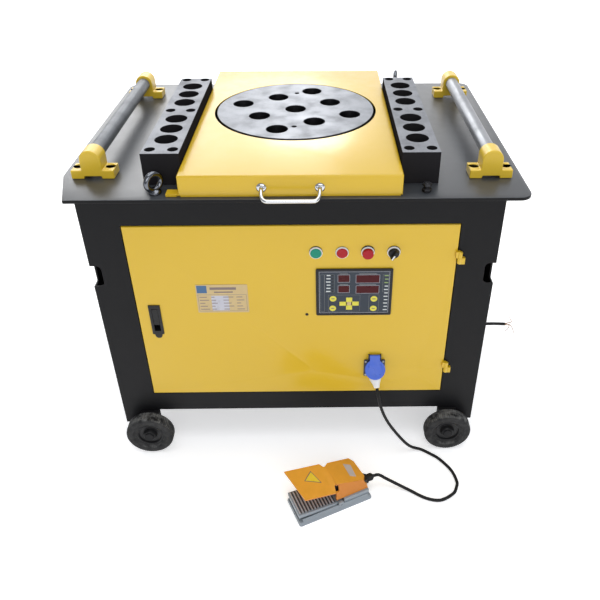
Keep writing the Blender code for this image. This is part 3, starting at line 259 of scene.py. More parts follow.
def chrome(name, colour):
    look = Look(name, colour, 0.06, 1.0)
    where = look.places()
    look.drive("Roughness", look.fit(look.noise(where, 90.0, 4.0), 0.4, 0.8, 0.04, 0.16))
    look.relief((look.noise(where, 160.0, 2.0), 0.00001))


def casting(name, colour, roughness):
    """Thick paint over a sand casting."""
    look = painted(name, colour, roughness, wear=0.4, dust=0.1)
    where = look.places()
    look.relief((look.noise(where, 240.0, 5.0, 0.6), 0.00025), (look.noise(where, 28.0, 3.0), 0.0012))


def copper_strands():
    look = Look("copper_strands", (0.45, 0.3, 0.22), 0.35, 1.0)
    twist = look.add("TexWave", {"Vector": look.places(), "Scale": 900.0, "Distortion": 1.5}, 1)
    look.drive("Base Color", look.blend(twist, (0.3, 0.17, 0.1), (0.62, 0.42, 0.3)))
    look.relief((twist, 0.0001))


DISC_LOW, DISC_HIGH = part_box("bending_disc")
DISC_CENTRE = (0, (DISC_LOW.y + DISC_HIGH.y) / 2, DISC_HIGH.z)


def make_looks():
    painted("black_paint", (0.008, 0.008, 0.009), 0.42, wear=0.2, dust=0.01, coat=0.0, sheen=0.16)
    painted("block_paint", (0.021, 0.02, 0.022), 0.6, wear=0.15, dust=0.01, coat=0.0, sheen=0.0)
    # lighter rib tops: worn paint and a painted highlight
    painted("rib_worn_highlight_paint", (0.5, 0.52, 0.56), 0.45, 0.00008, wear=0.5, dust=0.05)
    painted(
        "yellow_paint", (0.665, 0.43, 0.012), 0.34, wear=0.12, dust=0.01, tint=0.03, coat=0.45, sheen=0.4,
    )
    painted(
        "table_paint", (0.034, 0.039, 0.046), 0.44, wear=0.4, dust=0.03, coat=0.6, sheen=0.4, gloss=0.3,
    )
    painted("pedal_paint", (0.25, 0.29, 0.33), 0.4, 0.00008, wear=0.5, dust=0.1)
    # darker groove floors: painted shade
    painted("groove_shade_paint", (0.06, 0.07, 0.085), 0.55, 0.00008, wear=0.2, dust=0.02)
    casting("yellow_casting", (0.78, 0.53, 0.03), 0.38)
    casting("cast_iron", (0.06, 0.085, 0.075), 0.5)
    drawn = straight_grain(300, 5, 300)
    bare_steel("turned_steel", (0.198, 0.21, 0.234), 0.36, lathe_grain, 0.5, 0.00003, metallic=0.6)
    bare_steel("ground_steel", (0.222, 0.232, 0.258), 0.46, straight_grain(420, 9, 420), 0.5, metallic=0.35)
    bare_steel("drawn_steel", (0.3, 0.31, 0.33), 0.36, drawn, 0.25, metallic=0.7)
    # a darker copy of the drawn steel: painted shade on the left roller
    bare_steel("shaded_drawn_steel", (0.155, 0.165, 0.18), 0.42, drawn, 0.3, metallic=0.5)
    bare_steel("plated_steel", (0.52, 0.53, 0.52), 0.28, straight_grain(90, 90, 90), 0.15)
    bare_steel("dark_steel", (0.06, 0.06, 0.065), 0.42, straight_grain(200, 200, 40))
    chrome("chrome", (0.62, 0.63, 0.65))
    chrome("forged_chrome", (0.17, 0.18, 0.2))
    tyre_rubber()
    copper_strands()
    moulded("cable_rubber", (0.009, 0.009, 0.009), 0.48, 0.00003, specular_ior_level=0.25)
    # the hood's sides get a darker orange: painted shade
    moulded("orange_plastic", (0.85, 0.385, 0.04), 0.34, 0.00003, 700.0, sides=(0.62, 0.205, 0.012))
    for name, colour, roughness, *sheen in (
        ("black_plastic", (0.012, 0.012, 0.013), 0.38, 0.3), ("grey_plastic", (0.62, 0.63, 0.65), 0.35),
        ("white_plastic", (0.8, 0.8, 0.8), 0.3), ("navy_plastic", (0.016, 0.022, 0.055), 0.36),
        ("blue_plastic", (0.035, 0.115, 0.62), 0.3), ("green_plastic", (0.003, 0.235, 0.15), 0.24, 0.3),
        ("red_plastic", (0.36, 0.003, 0.01), 0.22, 0.3), ("fascia_film", (0.03, 0.04, 0.056), 0.36, 0.3),
        ("window_film", (0.06, 0.002, 0.004), 0.3, 0.2), ("key_yellow", (0.66, 0.6, 0.05), 0.35),
        ("mark_white", (0.62, 0.66, 0.66), 0.4), ("mark_faint", (0.16, 0.17, 0.17), 0.4),
        ("mark_green", (0.25, 0.36, 0.12), 0.4), ("label_tan", (0.56, 0.42, 0.2), 0.35),
        ("label_blue", (0.045, 0.125, 0.26), 0.35), ("label_line", (0.2, 0.15, 0.14), 0.4),
        ("label_silver", (0.5, 0.5, 0.56), 0.3), ("pedal_label", (0.56, 0.5, 0.5), 0.4),
        ("warning_yellow", (0.85, 0.62, 0.045), 0.3),
    ):
        moulded(name, colour, roughness, **{"specular_ior_level": value for value in sheen})


make_looks()


# ---------------------------------------------------------------- mesh tools

AXES = {"X": (1, 2, 0), "Y": (0, 2, 1), "Z": (0, 1, 2)}
CORNERS = ((-1, -1), (1, -1), (1, 1), (-1, 1))


def to_object(shape, look=None, name="part"):
    bmesh.ops.recalc_face_normals(shape, faces=shape.faces)
    mesh = bpy.data.meshes.new(name)
    shape.to_mesh(mesh)
    shape.free()
    made = bpy.data.objects.new(name, mesh)
    SCENE.collection.objects.link(made)
    if look:
        mesh.materials.append(LOOKS[look])
    return made


def skin(rings, look=None, joined=False, name="part"):
    """A solid through rings of points: capped at both ends, or its last ring joined to its first."""
    shape = bmesh.new()
    rings = [[shape.verts.new(point) for point in points] for points in rings]
    pairs = list(zip(rings, rings[1:]))
    if joined:
        pairs.append((rings[-1], rings[0]))
    else:
        shape.faces.new(rings[0])
        shape.faces.new(rings[-1])
    for one, two in pairs:
        for step in range(len(one)):
            after = (step + 1) % len(one)
            shape.faces.new((one[step], one[after], two[after], two[step]))
    return to_object(shape, look, name)


def place(axis, first, second, along):
    """A point from its two coordinates across an axis and its distance along it."""
    point = [0.0, 0.0, 0.0]
    for slot, value in zip(AXES[axis], (first, second, along)):
        point[slot] = value
    return Vector(point)


def prism(outline, axis, low, high, look=None):
    """An outline across an axis, extruded from low to high along it."""
    return skin([[place(axis, a, b, along) for a, b in outline] for along in (low, high)], look)


def block(low, high, look=None):
    outline = ((low[0], low[1]), (high[0], low[1]), (high[0], high[1]), (low[0], high[1]))
    return prism(outline, "Z", low[2], high[2], look)


def turned(profile, axis, centre, look=None, sides=64, base=0.0, way=1):
    """A profile of (radius, distance from the base) turned about an axis; off it, it makes a ring."""
    rings = []
    for radius, along in profile:
        if radius > 0:
            turns = [2 * math.pi * step / sides for step in range(sides)]
            circle = [(centre[0] + radius * math.cos(a), centre[1] + radius * math.sin(a)) for a in turns]
            rings.append([place(axis, a, b, base + way * along) for a, b in circle])
    return skin(rings, look, profile[0][0] > 0)


def rod(axis, centre, low, high, radius, look=None, sides=48):
    return turned(((0, low), (radius, low), (radius, high), (0, high)), axis, centre, look, sides)


def evaluated(item):
    """Apply an item's modifiers."""
    graph = bpy.context.evaluated_depsgraph_get()
    shaped = bpy.data.meshes.new_from_object(item.evaluated_get(graph))
    item.modifiers.clear()
    item.data = shaped
    return item


def boolean(target, tool, operation):
    step = target.modifiers.new("shape", "BOOLEAN")
    step.operation = operation
    step.solver = "EXACT"
    step.object = tool
    evaluated(target)
    bpy.data.objects.remove(tool)
    shape = bmesh.new()
    shape.from_mesh(target.data)
    bmesh.ops.remove_doubles(shape, verts=shape.verts, dist=MERGE)
    bmesh.ops.dissolve_degenerate(shape, edges=shape.edges, dist=MERGE)
    shape.to_mesh(target.data)
    shape.free()
    return target


def together(name, items):
    """Several items as one object; each keeps its own material."""
    shape = bmesh.new()
    looks = []
    for item in items:
        own = item.data.materials[0] if len(item.data.materials) else None
        if own not in looks:
            looks.append(own)
        count = len(shape.faces)
        shape.from_mesh(item.data)
        shape.faces.ensure_lookup_table()
        for face in shape.faces[count:]:
            face.material_index = looks.index(own)
        bpy.data.objects.remove(item)
    mesh = bpy.data.meshes.new(name)
    shape.to_mesh(mesh)
    shape.free()
    for own in filter(None, looks):
        mesh.materials.append(own)
    made = bpy.data.objects.new(name, mesh)
    SCENE.collection.objects.link(made)
    return made


def cut(target, *tools):
    return boolean(target, together("tools", tools), "DIFFERENCE")


def fuse(target, *tools):
    for tool in tools:
        boolean(target, tool, "UNION")
    return target


def bevel(item, width, segments=3, apply=False):
    """Round an item's sharp edges."""
    step = item.modifiers.new("edges", "BEVEL")
    step.width = width
    step.segments = segments
    step.limit_method = "ANGLE"
    step.angle_limit = math.radians(32)
    step.harden_normals = not apply
    step.miter_outer = "MITER_ARC"
    return evaluated(item) if apply else item


def soften(item, chosen, width, segments):
    """Round the edges that chosen picks from their two ends."""
    shape = bmesh.new()
    shape.from_mesh(item.data)
    bends = [edge for edge in shape.edges if chosen(*(vert.co for vert in edge.verts))]
    bmesh.ops.bevel(shape, geom=bends, offset=width, segments=segments, affect="EDGES", profile=0.5)
    shape.to_mesh(item.data)
    shape.free()
    return item


def smooth(item, angle=34):
    item.data.shade_smooth()
    item.data.set_sharp_from_angle(angle=math.radians(angle))
    return item


def piece(item, body, *nodes, name=None, width=0.0, segments=3):
    """Finish a piece: name it, round its edges, let it ride on its body and stand for its CAD nodes."""
    item.name = name or (nodes[0] if nodes else item.name)
    smooth(item)
    if width:
        bevel(item, width, segments)
    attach(item, body)
    if nodes:
        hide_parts(*nodes)
    return item


def arc(centre, radius, start_angle, end_angle, steps):
    """Points on an arc, its ends included, with angles in degrees."""
    points = []
    for step in range(steps + 1):
        angle = math.radians(start_angle + (end_angle - start_angle) * step / steps)
        points.append((centre[0] + radius * math.cos(angle), centre[1] + radius * math.sin(angle)))
    return points


def centre_of(node):
    low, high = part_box(node)
    return (low + high) / 2


def around(middle, half):
    return middle - half, middle + half


def rounded(x, y, radius, steps=10):
    """A rectangle's outline with round corners."""
    outline = []
    for end_x, end_y, angle in ((1, 0, -90), (1, 1, 0), (0, 1, 90), (0, 0, 180)):
        inside_x = x[end_x] - math.copysign(radius, x[end_x] - sum(x) / 2)
        inside_y = y[end_y] - math.copysign(radius, y[end_y] - sum(y) / 2)
        outline += arc((inside_x, inside_y), radius, angle, angle + 90, steps)
    return outline


def shift(item, offset):
    item.data.transform(Matrix.Translation(Vector(offset)))
    return item


def spin(item, angle, axis, point):
    there = Matrix.Translation(Vector(point))
    item.data.transform(there @ Matrix.Rotation(angle, 4, axis) @ there.inverted())
    return item


def smooth_route(route, spacing):
    """Evenly spaced points on a Catmull-Rom curve through the route's points."""
    points = [Vector(point) for point in route]
    ends = [2 * points[0] - points[1]] + points + [2 * points[-1] - points[-2]]
    dense = []
    for before, one, two, after in zip(ends, ends[1:], ends[2:], ends[3:]):
        for step in range(24):
            t = step / 24
            dense.append(0.5 * (
                2 * one + (two - before) * t
                + (2 * before - 5 * one + 4 * two - after) * t ** 2
                + (3 * one - before - 3 * two + after) * t ** 3
            ))
    dense.append(points[-1])
    lengths = [0.0]
    for one, two in zip(dense, dense[1:]):
        lengths.append(lengths[-1] + (two - one).length)
    count = max(2, round(lengths[-1] / spacing))
    even = []
    reached = 0
    for step in range(count + 1):
        target = lengths[-1] * step / count
        while reached < len(dense) - 2 and lengths[reached + 1] < target:
            reached += 1
        share = (target - lengths[reached]) / (lengths[reached + 1] - lengths[reached])
        even.append(dense[reached].lerp(dense[reached + 1], min(1.0, share)))
    return even, lengths[-1]


def tube(points, radius, look, sides=16, name="part"):
    """A closed tube along points, turned from ring to ring without twist."""
    rings = []
    across = None
    count = len(points)
    for index, point in enumerate(points):
        ahead = points[min(index + 1, count - 1)] - points[max(index - 1, 0)]
        ahead.normalize()
        if across is None:
            across = ahead.orthogonal().normalized()
        across = (across - ahead * across.dot(ahead)).normalized()
        other = ahead.cross(across)
        size = radius(index / (count - 1)) if callable(radius) else radius
        rings.append([
            point + size * (math.cos(turn) * across + math.sin(turn) * other)
            for turn in (2 * math.pi * step / sides for step in range(sides))
        ])
    return skin(rings, look, name=name)


# ---------------------------------------------------------------- cords

CABLE_RADIUS = 0.004
FOOT_CABLE_ROUTE = (
    (0.20075, -0.40069, 0.22449), (0.2025, -0.4085, 0.2165), (0.205, -0.413, 0.203),
    (0.2127, -0.415, 0.169), (0.227, -0.415, 0.1293), (0.247, -0.414, 0.0907),
    (0.2785, -0.412, 0.042), (0.301, -0.409, 0.0165), (0.3276, -0.4083, 0.0048),
    (0.3501, -0.4229, 0.0042), (0.372, -0.441, 0.0042), (0.3972, -0.4773, 0.0042),
    (0.4061, -0.5127, 0.0042), (0.4021, -0.5307, 0.0042), (0.3903, -0.5501, 0.0042),
    (0.3558, -0.5687, 0.0042), (0.3199, -0.5623, 0.0042), (0.2822, -0.5398, 0.0055),
    (0.2577, -0.53, 0.0125), (0.2345, -0.5234, 0.0225), (0.2194, -0.52, 0.03),
    (0.204, -0.515, 0.036), (0.189, -0.5193, 0.038),
)
LEAD_END = (0.5485, -0.25, 0.3071)
LEAD_CORES = (
    ((0.557, -0.2495, 0.311), (0.566, -0.249, 0.313), (0.562, -0.248, 0.32), (0.558, -0.247, 0.329)),
    ((0.556, -0.2505, 0.306), (0.56, -0.252, 0.302), (0.558, -0.253, 0.294), (0.551, -0.254, 0.286)),
    ((0.558, -0.25, 0.306), (0.566, -0.249, 0.3), (0.572, -0.248, 0.29), (0.578, -0.247, 0.274)),
)
LEAD_ROUTE = ((0.464, -0.25, 0.308), (0.49, -0.25, 0.3083), (0.52, -0.25, 0.3086), (0.548, -0.25, 0.3071))


def in_frame(route):
    """A route given about the table's centre, in the frame's coordinates."""
    return [(x, y + SHIFT_Y, z) for x, y, z in route]


def plug():
    """The foot switch's plug: a nose in the socket and a light cone down to the cable."""
    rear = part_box("foot_plug")[1].y
    x = centre_of("foot_socket").x
    front, foot = in_frame(((x, -0.3745, 0.252), (0.2006, -0.4, 0.2252)))
    direction = Vector(foot) - Vector(front)
    length = direction.length
    neck = turned((
        (0, 0), (0.0112, 0), (0.0138, 0.0035), (0.015, 0.01), (0.0146, 0.0155), (0.0118, 0.0215),
        (0.0092, 0.0275), (0.0078, 0.0325), (0.007, length - 0.0012), (0.0062, length), (0, length),
    ), "Z", (0, 0), "white_plastic", 48)
    lean = Vector((0, 0, 1)).rotation_difference(direction)
    neck.data.transform(Matrix.Translation(Vector(front)) @ lean.to_matrix().to_4x4())
    nose = rod("Y", (x, SOCKET[1]), rear - 0.0275, rear, 0.0176, "white_plastic")
    return piece(fuse(neck, nose), "door", "foot_plug", width=0.0006)


def foot_cable():
    """The cable from the door's plug to the foot switch on the floor."""
    points, length = smooth_route(in_frame(FOOT_CABLE_ROUTE), 0.0035)
    made = smooth(tube(points, CABLE_RADIUS, "cable_rubber", name="foot_cable"), 60)
    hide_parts("foot_cable")
    plug()
    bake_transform(made)


def lead_cores():
    """Three bare cores that spread from the lead's cut end."""
    x, y, z = LEAD_END
    cores = [rod("X", (SHIFT_Y + y, z), x, x + 0.004, 0.0034, "copper_strands")]
    for route in LEAD_CORES:
        first = (x + 0.001, y, z + (route[0][2] - z) * 0.3)
        points, _ = smooth_route(in_frame((first, *route)), 0.0012)
        cores.append(tube(points, lambda share: 0.0011 - 0.0004 * share, "copper_strands", 12))
    return piece(together("power_lead_cores", cores), "machine", "power_lead_cores")


def power_lead():
    """The supply lead's short end at the cabinet's right side."""
    points, length = smooth_route(in_frame(LEAD_ROUTE), 0.004)
    made = smooth(tube(points, CABLE_RADIUS, "cable_rubber", 24, "power_lead"), 60)
    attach(made, "machine")
    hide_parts("power_lead")
    lead_cores()


# ---------------------------------------------------------------- table, blocks, rollers

TABLE_CORNER = 0.028
CLIP = (0.0358, 0.1204)
LIFT = (0.29, 0.35)


def two_tone(item, look, chosen):
    """Give the faces that chosen picks a second material."""
    item.data.materials.append(LOOKS[look])
    for face in item.data.polygons:
        if chosen(face):
            face.material_index = len(item.data.materials) - 1
    return item


def table_plate():
    """A plate with three round corners, the fourth cut off, open round the shaft and at the eyes."""
    low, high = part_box("table_plate")
    x = (low.x + TABLE_CORNER, high.x - TABLE_CORNER)
    y = (low.y + TABLE_CORNER, high.y - TABLE_CORNER)
    outline = [(low.x + CLIP[0], low.y)]
    for centre, angle in (((x[1], y[0]), -90), ((x[1], y[1]), 0), ((x[0], y[1]), 90)):
        outline += arc(centre, TABLE_CORNER, angle, angle + 90, 20)
    outline.append((low.x, low.y + CLIP[1]))
    plate = bevel(prism(outline, "Z", low.z, high.z, "black_paint"), 0.0012, apply=True)
    through = (low.z - 0.01, high.z + 0.01)
    holes = [rod("Z", DISC_CENTRE[:2], *through, 0.11, sides=96)]
    for x in (-LIFT[0], LIFT[0]):
        holes += [rod("Z", (x, y + SHIFT_Y), *through, 0.0063) for y in (-LIFT[1], LIFT[1])]
    cut(plate, *holes)
    # the top takes the grey table paint; the sides keep the darker black paint as painted shade on the plate's
    # edges
    two_tone(plate, "table_paint", lambda face: face.normal.z > 0.3 and face.center.z > high.z - 0.002)
    piece(plate, "machine", "table_plate")


BLOCK_HOLE = 0.0255
BLOCK_SHIFT = 0.0045
BLOCK_HOLES = (0.057, 0.12, 0.183)
BLOCK_BOLTS = (0.0247, 0.239)


def cap_screw(x, y, seat, radius):
    """A socket head cap screw standing on seat."""
    head = radius * 1.05
    screw = turned((
        (0, 0), (radius, 0), (radius, head - 0.0008), (radius - 0.0008, head), (0, head),
    ), "Z", (x, y), "black_plastic", 32, seat)
    hexagon = arc((x, y), radius * 0.56, 0, 300, 5)
    return cut(screw, prism(hexagon, "Z", seat + head * 0.45, seat + head + 0.01))


def pin_block(side):
    """Dark sides and a ground top, with pin holes and sunk bolts."""
    name = "pin_block_" + side
    low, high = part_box(name)
    middle = (low + high) / 2
    row_y = middle.y + BLOCK_SHIFT
    made = block(low, high, "block_paint")
    tools = [
        rod("Z", (middle.x, row_y + way * offset), low.z - 0.01, high.z + 0.01, BLOCK_HOLE, sides=72)
        for offset in BLOCK_HOLES for way in WAYS
    ]
    bolts = []
    for y in (row_y - BLOCK_BOLTS[1], row_y, row_y + BLOCK_BOLTS[1]):
        bolts += [(x, y) for x in around(middle.x, BLOCK_BOLTS[0])]
    tools += [rod("Z", centre, high.z - 0.018, high.z + 0.01, 0.0115, sides=40) for centre in bolts]
    cut(made, *tools)
    two_tone(made, "ground_steel", lambda face: face.normal.z > 0.5 and face.center.z > high.z - 0.003)
    piece(made, "machine", name, width=0.0007, segments=2)
    screws = [cap_screw(x, y, high.z - 0.0178, 0.009) for x, y in bolts]
    piece(together(name + "_screws", screws), "machine", width=0.0003)


def pillow_block(end, side):
    """A cast pillow block: foot with a relief under it, arched housing, two screws in wells."""
    name = f"pillow_{end}_{side}"
    low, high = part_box(name)
    middle = (low + high) / 2
    shoulder = low.z + 0.02
    arch = 0.0233
    relief = around(middle.x, 0.0195)
    outline = [(low.x, low.z), (relief[0], low.z), (relief[0], low.z + 0.006), (relief[1], low.z + 0.006)]
    outline += [(relief[1], low.z), (high.x, low.z), (high.x, shoulder), (middle.x + arch, shoulder)]
    outline += arc((middle.x, high.z - arch), arch, 0, 180, 40)
    outline += [(middle.x - arch, shoulder), (low.x, shoulder)]
    made = prism(outline, "Y", low.y, high.y, "yellow_casting")
    roller_low, roller_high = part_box("roller_" + side)
    bore = (max(roller_low.y - 0.0004, low.y - 0.01), min(roller_high.y + 0.0004, high.y + 0.01))
    tools = [rod("Y", (middle.x, centre_of("roller_" + side).z), *bore, 0.0126)]
    screws = []
    for x in around(middle.x, 0.0358):
        y = low.y + (high.y - low.y) * 0.58
        tools.append(rod("Z", (x, y), shoulder - 0.01, shoulder + 0.01, 0.0092))
        screws.append(cap_screw(x, y, shoulder - 0.0098, 0.0082))
    cut(made, *tools)
    piece(made, "machine", name, width=0.0022, segments=4)
    piece(together(name + "_screws", screws), "machine", width=0.0003)


def roller(side):
    """A steel tube with chamfered ends on stub axles."""
    name = "roller_" + side
    low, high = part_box(name)
    radius = (high.z - low.z) / 2
    stub = radius * 0.72 - 0.0004
    edge = 0.0012
    front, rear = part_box("pillow_front_" + side)[1].y + 0.001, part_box("pillow_rear_" + side)[0].y - 0.001
    # the left roller gets a darker copy of the drawn steel: painted shade
    look = "shaded_drawn_steel" if side == "left" else "drawn_steel"
    piece(turned((
        (0, low.y), (stub, low.y), (stub, front), (radius - edge, front), (radius, front + edge),
        (radius, rear - edge), (radius - edge, rear), (stub, rear), (stub, high.y), (0, high.y),
    ), "Y", (centre_of(name).x, centre_of(name).z), look, 96), name, name)


def eyebolt(name, x, y, angle):
    """A drop-forged lifting eye on a round collar."""
    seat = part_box("table_plate")[1].z + GAP
    shank = turned((
        (0, -0.0075), (0.006, -0.0075), (0.006, 0), (0.0132, 0), (0.014, 0.001), (0.014, 0.0045),
        (0.013, 0.006), (0.0095, 0.0085), (0.0075, 0.011), (0, 0.011),
    ), "Z", (x, y), "forged_chrome", 48, seat)
    middle = seat + 0.026
    section = [(0.018 + across, y + along) for across, along in arc((0, 0), 0.006, 0, 345, 23)]
    ring = spin(turned(section, "Y", (x, middle), "forged_chrome", 72), angle, "Z", (x, y, middle))
    piece(fuse(shank, ring), "machine", name)


def table_stud():
    """A stud with two nuts where a lifting eye is missing."""
    low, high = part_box("table_stud")
    x, y = LIFT[0], SHIFT_Y - LIFT[1]
    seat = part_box("table_plate")[1].z + GAP
    nuts = [turned((
        (0, 0), (0.0092, 0), (0.0105, 0.0012), (0.0105, rise - 0.0012), (0.0092, rise), (0, rise),
    ), "Z", (x, y), "dark_steel", 6, foot) for foot, rise in ((seat, 0.008), (seat + 0.0135, 0.0065))]
    profile = [(0, low.z), (0.006, low.z)]
    for turn in range(19):
        height = low.z + 0.0005 + turn * 0.0015
        profile += [(0.006, height), (0.0053, height + 0.00075)]
    profile += [(0.006, high.z - 0.001), (0.0048, high.z), (0, high.z)]
    thread = turned(profile, "Z", (x, y), "dark_steel", 24)
    piece(fuse(nuts[0], thread, nuts[1]), "machine", "table_stud", width=0.0004)


# ---------------------------------------------------------------- disc and cover

PIN_PITCH = 0.1016
PIN_RADIUS = 0.0261
PIN_ANGLE = math.radians(28.5)
DISC_RADIUS = 0.2


def bending_disc():
    """A disc with pin holes on a turned square grid and two small holes."""
    low, high = DISC_LOW.z, DISC_HIGH.z
    disc = rod("Z", DISC_CENTRE[:2], low, high, DISC_RADIUS, "turned_steel", 192)
    through = (low - 0.01, high + 0.01)
    tools = []
    for first in (-PIN_PITCH, 0, PIN_PITCH):
        for second in (-PIN_PITCH, 0, PIN_PITCH):
            x = first * math.cos(PIN_ANGLE) - second * math.sin(PIN_ANGLE)
            y = first * math.sin(PIN_ANGLE) + second * math.cos(PIN_ANGLE)
            tools.append(rod("Z", (x, DISC_CENTRE[1] + y), *through, PIN_RADIUS, sides=72))
    tools += [rod("Z", (0, y), *through, 0.006, sides=32) for y in around(DISC_CENTRE[1], 0.122)]
    cut(disc, *tools)
    two_tone(disc, "dark_steel", lambda face: face.normal.z < 0.5)
    piece(disc, "bender", "bending_disc", width=0.0012)


COVER_EDGE = 0.0035
COVER_SHEET = 0.003
COVER_OPENING = 0.206
COVER_HALF_X = 0.237
COVER_LUG_TOP = 0.7595
HANDLE_HALF = (
    (0.0615, -0.371, 0.774), (0.0614, -0.379, 0.773), (0.061, -0.3875, 0.7703),
    (0.06, -0.3955, 0.7665), (0.0575, -0.401, 0.7632), (0.0535, -0.4045, 0.761),
    (0.047, -0.406, 0.76), (0.02, -0.406, 0.76),
)


def cover_sheet():
    """A pressed sheet box with rounded bends, open round the disc and below."""
    low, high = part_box("cover_sheet")
    front, bottom = low.y, low.z
    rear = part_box("cover_hinge_leaf")[0].y - 0.0055
    hinge = next(joint for joint in frame["joints"] if joint["child"] == "cover")["pos_m"]
    made = block((-COVER_HALF_X, front, bottom), (COVER_HALF_X, rear, high.z), "yellow_paint")
    soften(made, lambda one, two: max(one.z, two.z) > bottom + 0.001, COVER_EDGE, 5)
    inside = COVER_HALF_X - COVER_SHEET
    cut(made, block(
        (-inside, front + COVER_SHEET, bottom - 0.01), (inside, rear - COVER_SHEET, high.z - COVER_SHEET),
    ))
    cut(made, rod("Z", DISC_CENTRE[:2], *around(high.z, 0.02), COVER_OPENING, sides=192))
    fuse(made, block((low.x, front + 0.001, bottom), (-COVER_HALF_X + 0.001, front + 0.023, COVER_LUG_TOP)))
    reliefs = []
    for corner in (-COVER_HALF_X, COVER_HALF_X):
        x = around(corner, 0.0045)
        reliefs.append(block((x[0], front - 0.01, bottom - 0.01), (x[1], front + 0.0045, bottom + 0.004)))
    cut(made, *reliefs)
    for x in ((-0.1195, -0.0405), (0.0405, 0.1195)):
        leaf = block((x[0], rear - 0.001, hinge[2] - 0.002), (x[1], hinge[1] - 0.002, hinge[2] + 0.0045))
        fuse(made, fuse(leaf, rod("X", hinge[1:], *x, 0.0045, sides=32)))
        cut(made, rod("X", hinge[1:], x[0] - 0.001, x[1] + 0.001, 0.0024, sides=24))
    piece(made, "cover", "cover_sheet", width=0.0005, segments=2)


def cover_handle():
    """A bright bow handle with domed feet."""
    foot_x, _, foot_z = HANDLE_HALF[0]
    left = [(-x, y, z) for x, y, z in HANDLE_HALF]
    points, _ = smooth_route(in_frame(left + list(reversed(HANDLE_HALF))), 0.002)
    bar = tube(points, 0.0045, "chrome", 32)
    for x in (-foot_x, foot_x):
        fuse(bar, turned((
            (0, 0), (0.0105, 0), (0.0105, 0.0012), (0.0092, 0.0024), (0.0066, 0.0036), (0, 0.0036),
        ), "Y", (x, foot_z), "chrome", 48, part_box("cover_handle")[1].y, -1))
    piece(bar, "cover", "cover_handle")


# ---------------------------------------------------------------- cabinet

BODY = (0.4635, 0.359)
SHEET = 0.004
RAIL_Z = 0.116
LEG_Z = 0.071
LEG_WIDTH = 0.094
NOTCH_Z = (0.517, 0.573)
WHEEL_X = 0.395
WHEEL_RADIUS = 0.0615
WHEEL_FACE = 0.4042
WHEEL_WIDTH = 0.0326
DOOR_X = (-0.375, 0.371)
DOOR_Z = (0.177, 0.676)


def corner_leg(way_x, way_y):
    """An angle section under one corner of the cabinet."""
    x = (way_x * BODY[0], way_x * (BODY[0] - LEG_WIDTH))
    y = (way_y * BODY[1], way_y * (BODY[1] - LEG_WIDTH))
    step_x, step_y = x[0] - way_x * SHEET, y[0] - way_y * SHEET
    outline = ((x[0], y[0]), (x[1], y[0]), (x[1], step_y), (step_x, step_y), (step_x, y[1]), (x[0], y[1]))
    return prism(outline, "Z", LEG_Z, RAIL_Z + 0.002)


def wheel_stub(way_x, way_y):
    """A lug on the cabinet with a wheel's stepped axle."""
    x = way_x * WHEEL_X
    face = BODY[1] + 0.009
    shoulder = WHEEL_FACE - WHEEL_WIDTH - GAP
    tip = WHEEL_FACE + GAP
    y = sorted((way_y * (BODY[1] - 0.002), way_y * face))
    lug = bevel(block((x - 0.024, y[0], 0.042), (x + 0.024, y[1], 0.112)), 0.003, apply=True)
    return fuse(lug, turned((
        (0, face - 0.001), (0.013, face - 0.001), (0.013, shoulder), (0.008, shoulder), (0.008, tip),
        (0.0125, tip), (0.013, tip + 0.0006), (0.0115, tip + 0.003), (0, tip + 0.003),
    ), "Y", (x, WHEEL_RADIUS), sides=40, way=way_y))


def cabinet():
    """Welded sheet body with a flanged mouth, doorway, corner notches, angle legs and axles."""
    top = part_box("frame_cabinet")[1].z
    inside = (BODY[0] - SHEET, BODY[1] - SHEET)
    mouth = (inside[0] - 0.03, inside[1] - 0.03)
    made = block((-BODY[0], -BODY[1], RAIL_Z), (*BODY, top), "black_paint")
    for low, high in (
        ((-inside[0], -inside[1], RAIL_Z + SHEET), (*inside, top - SHEET)),
        ((-mouth[0], -mouth[1], top - 0.02), (*mouth, top + 0.01)),
        ((DOOR_X[0] - 0.002, -BODY[1] - 0.01, DOOR_Z[0] - 0.002),
         (DOOR_X[1] + 0.002, -BODY[1] + 0.01, DOOR_Z[1] + 0.002)),
        ((-0.38, BODY[1] - 0.01, 0.18), (0.38, BODY[1] + 0.01, 0.67)),
    ):
        cut(made, block(low, high))
    for way_x in WAYS:
        for way_y in WAYS:
            fuse(made, corner_leg(way_x, way_y), wheel_stub(way_x, way_y))
            x = sorted((way_x * (BODY[0] - 0.025), way_x * (BODY[0] + 0.02)))
            y = sorted((way_y * (BODY[1] - 0.025), way_y * (BODY[1] + 0.02)))
            cut(made, prism(rounded(x, NOTCH_Z, 0.012, 8), "Y", *y))
    cut(made, rod("X", (-0.25, 0.308), 0.44, 0.48, 0.0084))
    shift(made, (0, SHIFT_Y, 0))
    piece(made, "machine", "frame_cabinet", width=0.0011)


def rear_panel():
    """A screwed-on sheet with cooling slots pressed in."""
    low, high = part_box("rear_panel")
    made = block(low, (high.x, high.y - 0.0006, high.z), "yellow_paint")
    slots = []
    for row in range(9):
        z = 0.26 + row * 0.018
        for x in ((-0.24, -0.08), (0.08, 0.24)):
            slots.append(prism(rounded(x, (z, z + 0.006), 0.0029, 6), "Y", low.y - 0.01, high.y + 0.01))
    cut(made, *slots)
    piece(made, "machine", "rear_panel", width=0.0008)
    screws = [
        screw_head("Y", (x, z), high.y - 0.0008, high.y - 0.00005, 0.006)
        for x in (low.x + 0.012, 0, high.x - 0.012) for z in (low.z + 0.012, high.z - 0.012)
    ]
    piece(together("rear_panel_screws", screws), "machine")


